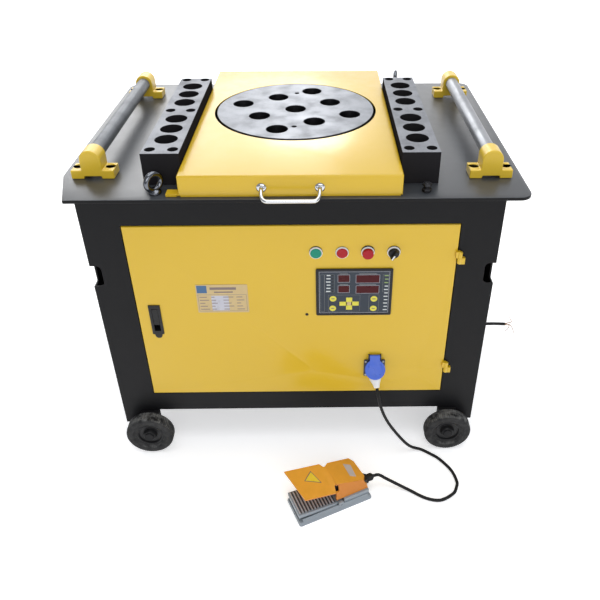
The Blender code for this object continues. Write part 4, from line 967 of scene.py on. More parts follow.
def screw_head(axis, centre, seat, top, radius, look="plated_steel"):
    """A low round screw head with a cross slot; it stands from seat to top along the axis."""
    rise = top - seat
    head = turned((
        (0, 0), (radius, 0), (radius, rise * 0.35), (radius * 0.8, rise * 0.8), (radius * 0.45, rise),
        (0, rise),
    ), axis, centre, look, 32, seat)
    arm, slim = radius * 0.62, radius * 0.13
    depth = sorted((seat + rise * 0.35, top + rise))
    for a, b in ((arm, slim), (slim, arm)):
        cut(head, prism([(centre[0] + x * a, centre[1] + y * b) for x, y in CORNERS], axis, *depth))
    return head


def wheel(name, way_x, way_y):
    """A rubber tyre with fine cross ridges on a dark hub."""
    half = WHEEL_WIDTH / 2
    middle = way_y * (WHEEL_FACE - half) + SHIFT_Y
    centre = (way_x * WHEEL_X, WHEEL_RADIUS)
    profile = [(0.034, -half + 0.002), (0.0435, -half + 0.0003), (0.053, -half)]
    profile += arc((0.0545, 0.007 - half), 0.007, -75, 0, 3)
    profile += [(0.0615, -half + 0.012), (0.0615, half - 0.012)]
    profile += arc((0.0545, half - 0.007), 0.007, 0, 75, 3)
    profile += [(0.053, half), (0.0435, half - 0.0003), (0.0415, half - 0.002), (0.038, half - 0.005)]
    profile.append((0.034, half - 0.006))
    tyre = turned(profile, "Y", centre, "tyre_rubber", 288, middle, way_y)
    for vertex in tyre.data.vertices:
        x, z = vertex.co.x - centre[0], vertex.co.z - centre[1]
        radius = math.hypot(x, z)
        if radius > 0.057:
            step = math.degrees(math.atan2(z, x)) * 72 / 360 % 1
            share = 1 - 0.0009 / radius * (step > 0.45)
            vertex.co.x = centre[0] + x * share
            vertex.co.z = centre[1] + z * share
    piece(tyre, name, name)
    piece(turned((
        (0.0084, -half), (0.0345, -half + 0.002), (0.0345, half - 0.0058), (0.0325, half - 0.0046),
        (0.0305, half - 0.006), (0.029, half - 0.0105), (0.0185, half - 0.0115), (0.0165, half - 0.0035),
        (0.015, half - 0.0004), (0.0084, half),
    ), "Y", centre, "black_plastic", 96, middle, way_y), name, name=name + "_hub", width=0.0006, segments=2)


# ---------------------------------------------------------------- door and controls

DOOR_FACE = SHIFT_Y - 0.3605
DOOR_SEAT = DOOR_FACE - 0.0003
DOOR_SHEET = 0.002
HINGE = (0.3765, SHIFT_Y - 0.3653)
HINGE_Z = (0.262, 0.592)
WEB_Y = SHIFT_Y - 0.368
SWITCH_Z = 0.606
SWITCHES = (0.051, 0.11, 0.168, 0.2265)
SELECTOR_REST = math.radians(30)
STEM = 0.0089
STEM_END = SHIFT_Y - 0.35
CAP = 0.0126
SOCKET = (0.195, 0.26)
LID_HINGE = (SHIFT_Y - 0.3665, 0.3015)
KEY_RISE = 0.00035


def door_panel():
    """A folded tray with softly bent edges, cut out for all it carries."""
    low, high = (DOOR_X[0], DOOR_FACE, DOOR_Z[0]), (DOOR_X[1], DOOR_FACE + 0.02, DOOR_Z[1])
    made = block(low, high, "yellow_paint")
    soften(made, lambda one, two: max(one.y, two.y) < DOOR_FACE + 0.001, 0.0024, 5)
    cut(made, block(
        (low[0] + DOOR_SHEET, DOOR_FACE + DOOR_SHEET, low[2] + DOOR_SHEET),
        (high[0] - DOOR_SHEET, high[1] + 0.01, high[2] - DOOR_SHEET),
    ))
    through = around(DOOR_FACE, 0.01)
    tools = [rod("Y", (x, SWITCH_Z), *through, 0.0113) for x in SWITCHES]
    tools.append(block((0.054, through[0], 0.434), (0.224, through[1], 0.559)))
    tools.append(block((-0.344, through[0], 0.3835), (-0.324, through[1], 0.4555)))
    tools.append(rod("Y", SOCKET, *through, 0.0205))
    cut(made, *tools)
    for x, z, radius in ((0.0357, 0.2537, 0.03), (0.307, 0.248, 0.026)):
        centre = (0, DOOR_FACE - radius + 0.0006)
        cut(made, turned([centre] + arc(centre, radius, 0, 90, 18), "Y", (x, z), None, 48))
    for middle in HINGE_Z:
        bottom = middle + GAP
        web = block((HINGE[0] - 0.01, WEB_Y, bottom), (HINGE[0], DOOR_FACE + 0.001, bottom + 0.016))
        fuse(made, fuse(web, hinge_barrel(bottom, 0.016, 1)))
        cut(made, rod("Z", HINGE, bottom - 0.001, bottom + 0.012, 0.0028, sides=24))
    piece(made, "door", "door_panel", width=0.0005, segments=2)
    screw = screw_head("Y", (0.0274, 0.4313), DOOR_SEAT, DOOR_SEAT - 0.0014, 0.0038, "dark_steel")
    piece(screw, "door", name="door_screw")


def hinge_barrel(base, length, way):
    """Half a weld-on hinge: a barrel drawn in at its free end."""
    return turned((
        (0, 0), (0.0052, 0), (0.0055, 0.0004), (0.0055, length - 0.0035), (0.0048, length - 0.0012),
        (0.0032, length), (0, length),
    ), "Z", HINGE, None, 40, base, way)


def door_hinge(name, middle):
    """The fixed half of a weld-on hinge: leaf, lower barrel and pin."""
    low = middle - 0.016
    leaf = block((HINGE[0], WEB_Y, low), (HINGE[0] + 0.012, SHIFT_Y - 0.3593, middle), "yellow_paint")
    pin = rod("Z", HINGE, low + 0.004, middle + 0.011, 0.0025, sides=24)
    fuse(leaf, hinge_barrel(middle, 0.016, -1), pin)
    piece(leaf, "machine", name, width=0.0006)


def latch():
    """A flush pull latch: cup with a round tongue below, and its paddle."""
    outline = [(-0.348, 0.463), (-0.348, 0.3765), (-0.3425, 0.375)]
    outline += arc((-0.334, 0.3725), 0.0085, 180, 360, 20)
    outline += [(-0.3255, 0.375), (-0.32, 0.3765), (-0.32, 0.463)]
    cup = bevel(prism(outline, "Y", SHIFT_Y - 0.3629, DOOR_SEAT, "black_plastic"), 0.0007, apply=True)
    fuse(cup, block((-0.3435, SHIFT_Y - 0.362, 0.384), (-0.3245, SHIFT_Y - 0.332, 0.455)))
    cut(cup, block((-0.3415, SHIFT_Y - 0.37, 0.386), (-0.3265, SHIFT_Y - 0.34, 0.453)))
    piece(cup, "door", "latch_cup")
    low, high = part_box("latch_paddle")
    paddle = block(low, high, "black_plastic")
    soften(paddle, lambda one, two: max(one.y, two.y) < low.y + 0.001, 0.0011, 4)
    grip = []
    for row in range(5):
        z = (low.z + 0.003 + row * 0.0026, low.z + 0.0042 + row * 0.0026)
        grip.append(block((low.x + 0.0015, low.y - 0.01, z[0]), (high.x - 0.0015, low.y + 0.00035, z[1])))
    piece(cut(paddle, *grip), "latch", "latch_paddle", width=0.0002)


def patch(x, z, back, rise, look, radius=0.0004):
    """A thin raised shape on a front face: back is its rear, rise how far it stands out."""
    size = min(x[1] - x[0], z[1] - z[0])
    return prism(rounded(x, z, min(radius, size * 0.45), 4), "Y", back - rise, back, look)


def rating_plate():
    """A plain plate with blank fields in place of its small print."""
    plate = patch((-0.2305, -0.1095), (0.44, 0.5205), DOOR_SEAT, 0.0006, "label_tan", 0.002)
    piece(plate, "door", "rating_plate", width=0.0001)
    seat = DOOR_SEAT - 0.0005
    marks = [patch(x, z, seat, 0.00022, look) for x, z, look in (
        ((-0.228, -0.2045), (0.4965, 0.518), "label_blue"),
        ((-0.1975, -0.136), (0.506, 0.513), "label_line"),
        ((-0.188, -0.144), (0.4975, 0.501), "label_line"),
    )]
    marks += [patch(x, z, seat, 0.0002, "label_line", 0.0001) for x, z in (
        ((-0.227, -0.113), (0.4915, 0.4923)), ((-0.227, -0.113), (0.444, 0.4448)),
        ((-0.227, -0.2262), (0.444, 0.4923)), ((-0.1138, -0.113), (0.444, 0.4923)),
    )]
    for row in range(5):
        z = 0.484 - row * 0.0088
        for x, length in ((-0.2235, 0.022), (-0.196, 0.014), (-0.168, 0.024), (-0.137, 0.018)):
            share = 1 - 0.22 * ((row * 2 + round(x * 1000)) % 3)
            marks.append(patch((x, x + length * share), (z, z + 0.0021), seat, 0.0002, "label_line", 0.0005))
    marks.append(patch((-0.196, -0.1555), (0.446, 0.489), seat, 0.00015, "label_silver"))
    piece(together("rating_plate_fields", marks), "door")


def switch_bank():
    """Bezels in front of the door, each with a black ring raised a little behind it as a painted shadow; barrels,
    contact blocks and their strip behind the door.
    """
    bore, wide = STEM + GAP, CAP + GAP
    bezels, shadow_rings = [], []
    bodies = [block((0.045, SHIFT_Y - 0.312, 0.601), (0.233, SHIFT_Y - 0.308, 0.611), "plated_steel")]
    for x, shadow_lift in zip(SWITCHES, (0.0017, 0.0005, 0.0028, 0.0014)):
        centre = (x, SWITCH_Z)
        bezels.append(turned((
            (bore, 0), (bore, 0.0008), (wide, 0.0008), (wide, 0.0036), (0.0132, 0.004), (0.0138, 0.0038),
            (0.0146, 0.003), (0.015, 0.0018), (0.015, 0),
        ), "Y", centre, "white_plastic", 96, DOOR_SEAT, -1))
        # painted shadow: a black ring set a little high behind the bezel shows as a dark crescent above it
        shadow_ring = rod("Y", (x, SWITCH_Z + shadow_lift), DOOR_SEAT - 0.0006, DOOR_SEAT, 0.0153, "black_plastic", 64)
        shadow_rings.append(cut(shadow_ring, rod("Y", centre, DOOR_SEAT - 0.002, DOOR_SEAT + 0.001, 0.01495, sides=96)))
        bodies.append(rod("Y", centre, SHIFT_Y - 0.3455, SHIFT_Y - 0.328, 0.011, "black_plastic"))
        front, rear = DOOR_SEAT - 0.0001, SHIFT_Y - 0.345
        barrel = ((bore, front), (bore, rear), (0.011, rear), (0.011, front))
        bodies.append(turned(barrel, "Y", centre, "black_plastic", 48))
        nut = ((0.0111, -0.3579), (0.0145, -0.3579), (0.0145, -0.354), (0.0111, -0.354))
        bodies.append(turned(nut, "Y", centre, "plated_steel", 8, SHIFT_Y))
        case = block(
            (x - 0.014, SHIFT_Y - 0.33, 0.592), (x + 0.014, SHIFT_Y - 0.296, 0.62), "black_plastic",
        )
        bodies.append(bevel(case, 0.001, 2, apply=True))
        for screw_x in around(x, 0.0085):
            for z in (0.6155, 0.5965):
                bodies.append(screw_head("Y", (screw_x, z), SHIFT_Y - 0.2972, SHIFT_Y - 0.2956, 0.0024))
    piece(together("switch_bezels", bezels), "door", "switch_bank", name="switch_bezels")
    piece(together("switch_shadow_rings", shadow_rings), "door")
    piece(together("switch_bodies", bodies), "door")


def push_button(name, x, proud, look):
    """A wide cap with a softly domed front, on its stem."""
    seat = DOOR_SEAT - 0.0041
    front = seat + 0.0001 - proud
    profile = [(share * CAP, front + 0.0004 * share ** 2) for share in (0, 0.25, 0.5, 0.75)]
    profile += [
        (CAP - 0.0008, front + 0.0004), (CAP - 0.0002, front + 0.0007), (CAP, front + 0.0012), (CAP, seat),
        (STEM, seat), (STEM, STEM_END), (0, STEM_END),
    ]
    piece(turned(profile, "Y", (x, SWITCH_Z), look), name, name)


def selector_knob():
    """A round base with a tapered grip and a white pointer, turned to its rest place."""
    x = SWITCHES[3]
    front = DOOR_SEAT - 0.0046
    face = front - 0.006
    knob = turned((
        (0, face), (0.0106, face), (0.0114, front - 0.0052), (CAP, front - 0.0008), (CAP, front),
        (STEM, front), (STEM, STEM_END), (0, STEM_END),
    ), "Y", (x, SWITCH_Z), "black_plastic", 72)
    grip = bevel(skin([[
        (x + across * wide, front - proud, SWITCH_Z + up * tall) for across, up in CORNERS
    ] for proud, wide, tall in ((0.003, 0.0042, 0.0118), (0.015, 0.0028, 0.0112))]), 0.0008, apply=True)
    pointer = block(
        (x - 0.0015, front - 0.0153, SWITCH_Z - 0.0106), (x + 0.0015, front - 0.014, SWITCH_Z + 0.001),
        "white_plastic",
    )
    for item in (grip, pointer):
        spin(item, SELECTOR_REST, "Y", (x, front, SWITCH_Z))
    piece(fuse(knob, grip), "selector", "selector_knob", width=0.0003, segments=2)
    piece(pointer, "selector", name="selector_pointer")


def controller_marks(seat):
    """Windows, keys, lamps and blank marks that stand on the controller's film."""
    marks = []

    def add(x, z, look, rise=0.00018, radius=0.0004, back=seat):
        marks.append(patch(x, z, back, rise, look, radius))

    def outline(x, z, line, look):
        for side_x, side_z in (
            (x, (z[0], z[0] + line)), (x, (z[1] - line, z[1])), ((x[0], x[0] + line), z),
            ((x[1] - line, x[1]), z),
        ):
            add(side_x, side_z, look, radius=0.0001)

    for x, z in (
        ((0.1016, 0.1277), (0.5268, 0.5463)), ((0.1433, 0.1969), (0.5246, 0.546)),
        ((0.1019, 0.1274), (0.4973, 0.5163)), ((0.1439, 0.1965), (0.495, 0.5158)),
    ):
        add(x, z, "window_film", 0.00022, 0.0006)
        outline((x[0] - 0.0009, x[1] + 0.0009), (z[0] - 0.0009, z[1] + 0.0009), 0.0006, "label_silver")
        margin = (x[1] - x[0]) * 0.12
        add((x[0] + margin, x[1] - margin), (z[1] + 0.0024, z[1] + 0.0044), "mark_faint", radius=0.0005)
    top = seat - KEY_RISE
    for x, z in ((0.0899, 0.4792), (0.0892, 0.4513), (0.1862, 0.4781), (0.1856, 0.4501)):
        marks.append(rod("Y", (x, z), top, seat, 0.008, "key_yellow", 40))
        add(around(x, 0.0038), around(z, 0.0012), "label_line", 0.0001, 0.0004, top)
    cross = (0.1279, 0.4646)
    add(around(cross[0], 0.0072), around(cross[1], 0.0046), "label_tan", KEY_RISE)
    for turn, (half, reach) in enumerate(((0.0072, 0.0178), (0.0058, 0.0228)) * 2):
        arm = ((-half, 0.005), (half, 0.005), (half, reach), (-half, reach))
        key = prism([(cross[0] + a, cross[1] + b) for a, b in arm], "Y", top, seat, "key_yellow")
        marks.append(spin(key, turn * math.pi / 2, "Y", (cross[0], 0, cross[1])))
    for row in range(6):
        z = 0.5005 + row * 0.009
        add((0.0735 + 0.0008 * (row % 3), 0.0838), around(z, 0.0015), "mark_white", radius=0.0006)
        marks.append(rod("Y", (0.0888, z), top, seat, 0.0019, "black_plastic", 24))
    for row in range(11):
        look = "mark_green" if row < 3 else "mark_white"
        left = 0.2085 + 0.0012 * (row % 2)
        add((left, 0.218), around(0.544 - row * 0.0098, 0.0013), look, radius=0.0005)
    outline((0.0575, 0.2205), (0.4375, 0.5555), 0.0006, "label_silver")
    for x, z in (
        ((0.07, 0.093), (0.4985, 0.548)), ((0.0785, 0.1535), (0.4415, 0.49)),
        ((0.174, 0.198), (0.4415, 0.49)), ((0.0605, 0.07), (0.4415, 0.548)),
        ((0.205, 0.219), (0.498, 0.548)),
    ):
        outline(x, z, 0.0005, "mark_faint")
    piece(together("controller_marks", marks), "door")


def controller():
    """The angle controller: a black bezel round a dark film."""
    outline = rounded((0.05, 0.228), (0.43, 0.563), 0.004)
    case = prism(outline, "Y", DOOR_SEAT - 0.004, DOOR_SEAT, "black_plastic")
    bevel(case, 0.0012, apply=True)
    fuse(case, block((0.056, DOOR_SEAT - 0.001, 0.436), (0.222, SHIFT_Y - 0.315, 0.557)))
    cut(case, block((0.0555, SHIFT_Y - 0.38, 0.4355), (0.2225, DOOR_SEAT - 0.0025, 0.5575)))
    vents = []
    for column in range(17):
        x = (0.07 + column * 0.008, 0.0735 + column * 0.008)
        vents.append(block((x[0], SHIFT_Y - 0.33, 0.55), (x[1], SHIFT_Y - 0.316, 0.56)))
    piece(cut(case, *vents), "door", "controller_case", width=0.0002, segments=2)
    back = DOOR_SEAT - 0.0028
    film = patch((0.0558, 0.2222), (0.4358, 0.5572), back, 0.0004, "fascia_film", 0.0015)
    piece(film, "door", "controller_overlay")
    controller_marks(back - 0.0003)


def foot_socket():
    """Square flange, collar and lid ears, with a screw in each corner."""
    flange = rounded(around(SOCKET[0], 0.0265), around(SOCKET[1], 0.0265), 0.003, 8)
    made = prism(flange, "Y", DOOR_SEAT - 0.004, DOOR_SEAT, "navy_plastic")
    bevel(made, 0.0008, apply=True)
    fuse(
        made, rod("Y", SOCKET, DOOR_SEAT - 0.001, SHIFT_Y - 0.326, 0.02, sides=64),
        rod("Y", SOCKET, SHIFT_Y - 0.3667, DOOR_SEAT - 0.001, 0.0235, sides=72),
    )
    for way in WAYS:
        x = sorted((SOCKET[0] + way * 0.013, SOCKET[0] + way * 0.016))
        fuse(made, block((x[0], LID_HINGE[0] - 0.003, 0.28), (x[1], DOOR_SEAT, LID_HINGE[1] + 0.003)))
    fuse(made, rod("X", LID_HINGE, *around(SOCKET[0], 0.014), 0.0015, sides=24))
    cut(made, rod("Y", SOCKET, SHIFT_Y - 0.38, SHIFT_Y - 0.335, 0.018, sides=64))
    piece(made, "door", "foot_socket", width=0.0004, segments=2)
    screws = [
        screw_head("Y", (x, z), DOOR_SEAT - 0.0038, DOOR_SEAT - 0.0056, 0.0032)
        for x in around(SOCKET[0], 0.0215) for z in around(SOCKET[1], 0.0215)
    ]
    piece(together("foot_socket_screws", screws), "door")


def socket_lid():
    """A round sprung lid with a raised rim, resting on the plug."""
    middle_z = LID_HINGE[1] - 0.0335
    outer = LID_HINGE[0] - 0.0035
    x = around(SOCKET[0], 0.0125)
    made = turned((
        (0, 0.0006), (0.0185, 0.0006), (0.02, 0), (0.0243, 0), (0.0252, 0.0004), (0.0255, 0.0012),
        (0.0255, 0.003), (0, 0.003),
    ), "Y", (SOCKET[0], middle_z), "blue_plastic", 96, outer)
    strap = block((x[0], outer, middle_z + 0.01), (x[1], *LID_HINGE))
    fuse(made, strap, rod("X", LID_HINGE, *x, 0.0035, sides=40))
    cut(made, rod("X", LID_HINGE, *around(SOCKET[0], 0.02), 0.0019, sides=24))
    spin(made, -math.radians(33), "X", (SOCKET[0], *LID_HINGE))
    piece(made, "lid", "socket_lid", width=0.0004, segments=2)


# ---------------------------------------------------------------- foot switch

PEDAL = Matrix.Translation((0.0071, SHIFT_Y - 0.6376, 0)) @ Matrix.Rotation(math.radians(24.3), 4, "Z")
PIVOT = (0.112, 0.018)
TREAD_TOP = 0.0315
GLAND = (0.033, 0.038)


def on_floor(item):
    item.data.transform(PEDAL)
    return item


def pedal_base():
    """A cast base with sloped sides, a deck for the switch, ears for the treadle and a toe hole."""
    outline = rounded((0, 0.196), (0, 0.086), 0.006, 8)
    rim = rounded((0.0012, 0.193), (0.003, 0.083), 0.006, 8)
    made = prism(outline, "Z", 0, 0.004, "pedal_paint")
    fuse(
        made, skin([[(u, v, 0.0035) for u, v in outline], [(u, v, 0.01) for u, v in rim]]),
        block((0.122, 0.008, 0.009), (0.19, 0.08, 0.0285)),
        block((0.13, 0.032, 0.028), (0.176, 0.076, 0.044)),
        block((0.184, 0.022, 0.009), (0.1925, 0.044, 0.0475)),
        *(block((PIVOT[0] - 0.006, low, 0.009), (PIVOT[0] + 0.006, high, 0.026))
          for low, high in ((0.0035, 0.0084), (0.0795, 0.083))),
        prism(((0.0026, 0.009), (0.0062, 0.0165), (0.0082, 0.0165), (0.0082, 0.009)), "X", 0.01, 0.187),
    )
    cut(
        made, rod("Y", PIVOT, -0.01, 0.1, 0.0033, sides=32),
        rod("X", (0.038, 0.0055), -0.01, 0.012, 0.0027, sides=32),
        rod("X", GLAND, 0.18, 0.2, 0.007, sides=40),
    )
    # faces above the deck are black; the boss's end face behind the hood's slot is black too, as painted shade
    # inside the hood
    two_tone(made, "black_plastic", lambda face: face.center.z > 0.0288 or (
        face.center.x > 0.183 and face.center.z > 0.024 and 0.0205 < face.center.y < 0.0455
    ))
    piece(on_floor(made), "machine", "pedal_base", width=0.0008)
    switch = block((0.1085, 0.027, 0.029), (0.129, 0.076, 0.066), "black_plastic")
    piece(on_floor(switch), "machine", name="pedal_switch", width=0.0006)


def treadle():
    """A ribbed plate with skirts at its sides and toe."""
    shell = prism((
        (0.002, 0.02), (0.1035, 0.0117), (0.1035, 0.0232), (0.002, TREAD_TOP),
    ), "Y", 0.009, 0.0828, "pedal_paint")
    bevel(shell, 0.0015, 4, apply=True)
    hollow = ((0.0045, 0.01), (0.11, 0.008), (0.11, 0.018), (0.0045, 0.027))
    cut(shell, prism(hollow, "Y", 0.0115, 0.0803))
    arm = ((0.09, 0.0165), (0.118, 0.0145), (0.118, 0.0218), (0.09, 0.0235))
    fuse(shell, prism(arm, "Y", 0.011, 0.0775))
    slope = (0.0232 - TREAD_TOP) / 0.1015
    for rib in range(12):
        first = 0.004 + rib * 0.008
        top = TREAD_TOP + slope * first
        foot = top - 0.002
        fuse(shell, prism((
            (first, foot), (first + 0.0042, foot), (first + 0.0036, top + 0.0028),
            (first + 0.0006, top + 0.0028),
        ), "Y", 0.0125, 0.08))
        groove = [(first + 0.003, foot), (first + 0.0082, foot)]
        groove += [(first + reach, top + slope * reach + 0.0005) for reach in (0.0082, 0.003)]
        fuse(shell, prism(groove, "Y", 0.013, 0.0795))

    def proud(face):
        return face.center.z - TREAD_TOP - slope * face.center.x

    # rib tops lighter: wear and a painted highlight; groove floors darker: painted shade
    two_tone(shell, "rib_worn_highlight_paint", lambda face: face.normal.z > 0.3 and proud(face) > 0.0012)
    two_tone(shell, "groove_shade_paint", lambda face: face.normal.z > 0.9 and 0.0003 < proud(face) < 0.0012)
    fuse(shell, rod("Y", PIVOT, 0.0045, 0.0826, 0.003, sides=32))
    piece(on_floor(shell), "treadle", "treadle", width=0.0004, segments=2)


def box_roof(u):
    """Height of the roof over the hood's box along the pedal."""
    return 0.0752 - 0.305 * (u - 0.106)


# outlines of the hood's box, outside and inside, at its foot and under its roof
BOX_BASE = (
    (0.103, 0.012), (0.19, 0.013), (0.1955, 0.038), (0.1925, 0.08), (0.191, 0.088), (0.103, 0.092),
    (0.103, 0.088),
)
BOX_CROWN = (
    (0.106, 0.0225), (0.181, 0.0225), (0.19, 0.0345), (0.186, 0.085), (0.177, 0.0975), (0.114, 0.0925),
    (0.106, 0.085),
)
ROOM_BASE = (
    (0.095, 0.016), (0.1865, 0.0165), (0.1918, 0.038), (0.1885, 0.078), (0.187, 0.084), (0.1, 0.088),
    (0.095, 0.086),
)
ROOM_CROWN = (
    (0.095, 0.0255), (0.1785, 0.0255), (0.1865, 0.0355), (0.1825, 0.084), (0.1755, 0.094), (0.1155, 0.089),
    (0.095, 0.081),
)

FLAP = (
    ((0.018, 0.0065, 0.0844), (0.002, 0.102, 0.0876)),
    ((0.097, 0.004, 0.07), (0.093, 0.094, 0.078)),
)


def flap_point(along, across):
    """A place on the flap's top: along 0 to 1 from its tip, across 0 to 1 from front to rear."""
    front = Vector(FLAP[0][0]).lerp(Vector(FLAP[1][0]), along)
    rear = Vector(FLAP[0][1]).lerp(Vector(FLAP[1][1]), along)
    return front.lerp(rear, across)


def sheet_through(columns, thick, look):
    """A sheet through columns of points, thick downwards."""
    shape = bmesh.new()
    layers = [
        [[shape.verts.new(Vector(point) - Vector((0, 0, drop))) for point in column] for column in columns]
        for drop in (0, thick)
    ]
    last, steps = len(columns) - 1, len(columns[0]) - 1
    for grid in layers:
        for one, two in zip(grid, grid[1:]):
            for step in range(steps):
                shape.faces.new((one[step], one[step + 1], two[step + 1], two[step]))
    top, bottom = layers
    border = [(column, 0) for column in range(last)] + [(last, step) for step in range(steps)]
    border += [(column, steps) for column in range(last, 0, -1)] + [(0, step) for step in range(steps, 0, -1)]
    for (a, b), (c, d) in zip(border, border[1:] + border[:1]):
        shape.faces.new((top[a][b], top[c][d], bottom[c][d], bottom[a][b]))
    return to_object(shape, look)


def spread(front, rear, steps):
    return [Vector(front).lerp(Vector(rear), step / steps) for step in range(steps + 1)]


def flap_label(name, corners, look, rise):
    """A flat sticker that follows the flap; its three corners are flap places."""
    one, two, three = (Vector((*corner, 0)) for corner in corners)
    columns = []
    for step in range(9):
        first, last = one.lerp(two, step / 8), one.lerp(three, step / 8)
        row = [first.lerp(last, cell / 8) for cell in range(9)]
        columns.append([flap_point(along, across) + Vector((0, 0, rise)) for along, across, _ in row])
    columns[0] = [point + (columns[1][cell] - point) * 0.02 for cell, point in enumerate(columns[0])]
    piece(on_floor(sheet_through(columns, 0.0008, look)), "machine", name=name)


def pedal_hood():
    """The guard: a twisted flap over the treadle and a box down to the base."""
    columns = [[flap_point(step / 12, cell / 8) for cell in range(9)] for step in range(13)]
    columns.append(spread((0.102, 0.0235, 0.0738), (0.099, 0.083, 0.0768), 8))
    columns.append(spread((0.109, 0.0235, box_roof(0.109)), (0.109, 0.083, box_roof(0.109)), 8))
    hood = sheet_through(columns, 0.003, "orange_plastic")
    shell = skin([[(u, v, 0.029) for u, v in BOX_BASE], [(u, v, box_roof(u)) for u, v in BOX_CROWN]])
    room = skin([
        [(u, v, 0.019) for u, v in ROOM_BASE],
        [(u, v, box_roof(max(u, 0.106)) - 0.0032) for u, v in ROOM_CROWN],
    ])
    fuse(hood, cut(shell, room))
    cut(hood, block((0.178, 0.0215, 0.02), (0.21, 0.0445, 0.048)))
    cut(hood, block((0.099, 0.004, 0.05), (0.1125, 0.029, 0.0708)))
    piece(on_floor(hood), "machine", "pedal_hood", width=0.0011)
    flap_label("pedal_triangle_edge", ((0.34, 0.57), (0.67, 0.84), (0.77, 0.4)), "label_line", 0.0003)
    flap_label("pedal_triangle", ((0.375, 0.575), (0.66, 0.8), (0.745, 0.43)), "warning_yellow", 0.0005)
    outline = ((0.153, 0.041), (0.168, 0.036), (0.171, 0.075), (0.153, 0.082))
    layers = [[(u, v, box_roof(u) + rise) for u, v in outline] for rise in (-0.0004, 0.00025)]
    piece(on_floor(skin(layers, "pedal_label")), "machine", name="pedal_blank_label")


def pedal_gland():
    """A washer, a hexagon body and a domed nut round the cable."""
    body = turned((
        (0.0043, 0.187), (0.0066, 0.187), (0.0066, 0.1928), (0.0086, 0.1928), (0.009, 0.1932),
        (0.009, 0.1948), (0.0118, 0.1948), (0.0122, 0.1951), (0.0122, 0.1959), (0.0118, 0.1962),
        (0.008, 0.1962), (0.008, 0.2105), (0.0076, 0.2115), (0.0068, 0.213), (0.006, 0.2138),
        (0.0043, 0.2138),
    ), "X", GLAND, "black_plastic")
    nut = prism(arc(GLAND, 0.0106, 0, 300, 5), "X", 0.1965, 0.2098)
    cut(nut, rod("X", GLAND, 0.19, 0.215, 0.0062))
    piece(on_floor(fuse(body, nut)), "machine", "pedal_gland", width=0.0002)


def power_gland():
    """The supply lead's gland in the cabinet's side."""
    made = turned((
        (0.0043, -0.014), (0.008, -0.014), (0.008, GAP), (0.0125, GAP), (0.0125, 0.005), (0.0116, 0.006),
        (0.0105, 0.0066), (0.01, 0.011), (0.0075, 0.013), (0.0043, 0.013),
    ), "X", (SHIFT_Y - 0.25, 0.308), "black_plastic", 48, BODY[0])
    piece(made, "machine", "power_gland", width=0.0002)


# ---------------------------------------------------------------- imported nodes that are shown

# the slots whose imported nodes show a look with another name
NODE_LOOKS = {"rubber": "cable_rubber", "bright_steel": "plated_steel"}


def packed_nodes():
    """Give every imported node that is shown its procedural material."""
    slots = {entry["node"]: entry["material_slot"] for entry in frame["record"]["subparts"]}
    for name, item in frame["nodes"].items():
        if item.hide_render:
            continue
        item.data.materials.clear()
        item.data.materials.append(LOOKS[NODE_LOOKS.get(slots[name], slots[name])])


# ---------------------------------------------------------------- stage

# each softbox's name, place, size, power and the point it faces
LAMPS = (
    ("behind", (-1.35, 3.6, 2.7), (3.4, 2.4), 52, (-0.2, 0.3, 0.7)),
    ("pane", (0.0, 3.62, 2.42), (0.7, 0.24), 6.5, (0.05, -0.1, 0.8)),
    ("left_pane", (-1.7, 3.58, 2.2), (1.4, 0.6), 5, (-0.4, -0.1, 0.75)),
    ("overhead", (0.2, 0.0, 3.4), (3.0, 3.0), 54, (0, 0.1, 0.0)),
    ("backdrop", (0.3, 2.0, 3.6), (5.0, 1.6), 70, (0.3, 6.0, 2.4)),
    ("front", (0.6, -3.2, 2.0), (3.2, 1.6), 37, (0, 0, 0.4)),
)


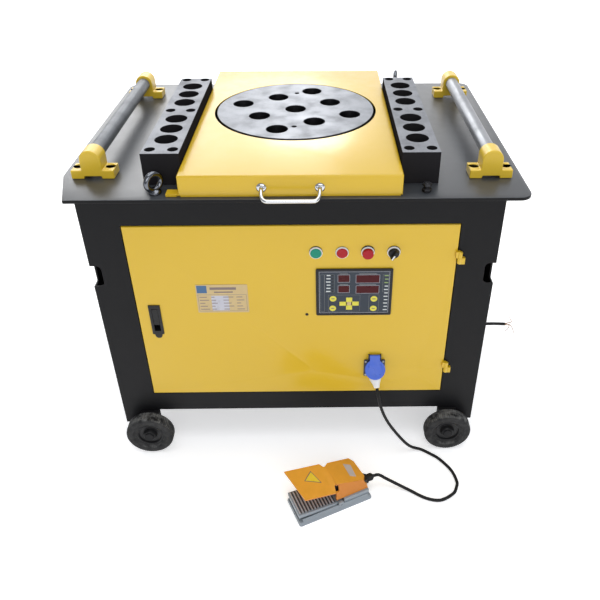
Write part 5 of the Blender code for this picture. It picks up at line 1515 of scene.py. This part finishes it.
def stage():
    """A pale floor that runs up behind, a cool pale sky, softboxes behind, overhead and in front."""
    look = Look("floor", (0.93, 0.93, 0.94), 0.75, emission_strength=0.5)
    pale = look.blend(look.noise(look.places(), 2.0, 3.0), (0.92, 0.92, 0.925), (0.96, 0.96, 0.965))
    look.drive("Base Color", pale)
    look.drive("Emission Color", pale)
    outline = [(-7.0, 0.0), (4.0, 0.0)]
    for degrees in range(6, 91, 6):
        angle = math.radians(degrees)
        outline.append((4.0 + 2 * math.sin(angle), 2 - 2 * math.cos(angle)))
    outline.append((6.0, 6.0))
    shape = bmesh.new()
    edges = [[shape.verts.new((x, y, z - 0.0001)) for y, z in outline] for x in (-9, 9)]
    for step in range(len(outline) - 1):
        shape.faces.new((edges[0][step], edges[0][step + 1], edges[1][step + 1], edges[1][step]))
    floor = to_object(shape, "floor", "floor")
    floor.data.shade_smooth()
    world = bpy.data.worlds.new("studio")
    world.use_nodes = True
    sky = world.node_tree.nodes["Background"].inputs
    sky["Color"].default_value = (0.92, 0.95, 1.0, 1)
    sky["Strength"].default_value = 0.38
    SCENE.world = world
    SCENE.view_settings.view_transform = "Standard"
    for name, where, size, power, aim in LAMPS:
        lamp = bpy.data.lights.new(name, "AREA")
        lamp.shape = "RECTANGLE"
        lamp.size, lamp.size_y = size
        lamp.energy = power
        light = bpy.data.objects.new(name, lamp)
        light.location = where
        light.rotation_euler = (Vector(aim) - Vector(where)).to_track_quat("-Z", "Y").to_euler()
        SCENE.collection.objects.link(light)


# ---------------------------------------------------------------- assembly


def build():
    """Every piece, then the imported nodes' materials and the stage."""
    for make in (camera, foot_cable, power_lead, cabinet, table_plate, rear_panel):
        make()
    eyebolt("eyebolt_front_left", -LIFT[0], SHIFT_Y - LIFT[1], math.radians(48))
    eyebolt("eyebolt_rear_right", LIFT[0], SHIFT_Y + LIFT[1], math.radians(83))
    table_stud()
    for side in ("left", "right"):
        pin_block(side)
        roller(side)
        pillow_block("front", side)
        pillow_block("rear", side)
    for make in (bending_disc, cover_sheet, cover_handle, door_panel):
        make()
    door_hinge("door_hinge_lower", HINGE_Z[0])
    door_hinge("door_hinge_upper", HINGE_Z[1])
    for make in (latch, rating_plate, switch_bank):
        make()
    push_button("green_button", SWITCHES[0], 0.0015, "green_plastic")
    push_button("red_button_left", SWITCHES[1], 0.0015, "red_plastic")
    push_button("red_button_right", SWITCHES[2], 0.008, "red_plastic")
    for make in (selector_knob, controller, foot_socket, socket_lid, power_gland):
        make()
    for end, way_y in (("front", -1), ("rear", 1)):
        for side, way_x in (("left", -1), ("right", 1)):
            wheel(f"wheel_{end}_{side}", way_x, way_y)
    for make in (pedal_base, treadle, pedal_hood, pedal_gland, packed_nodes, stage):
        make()


build()
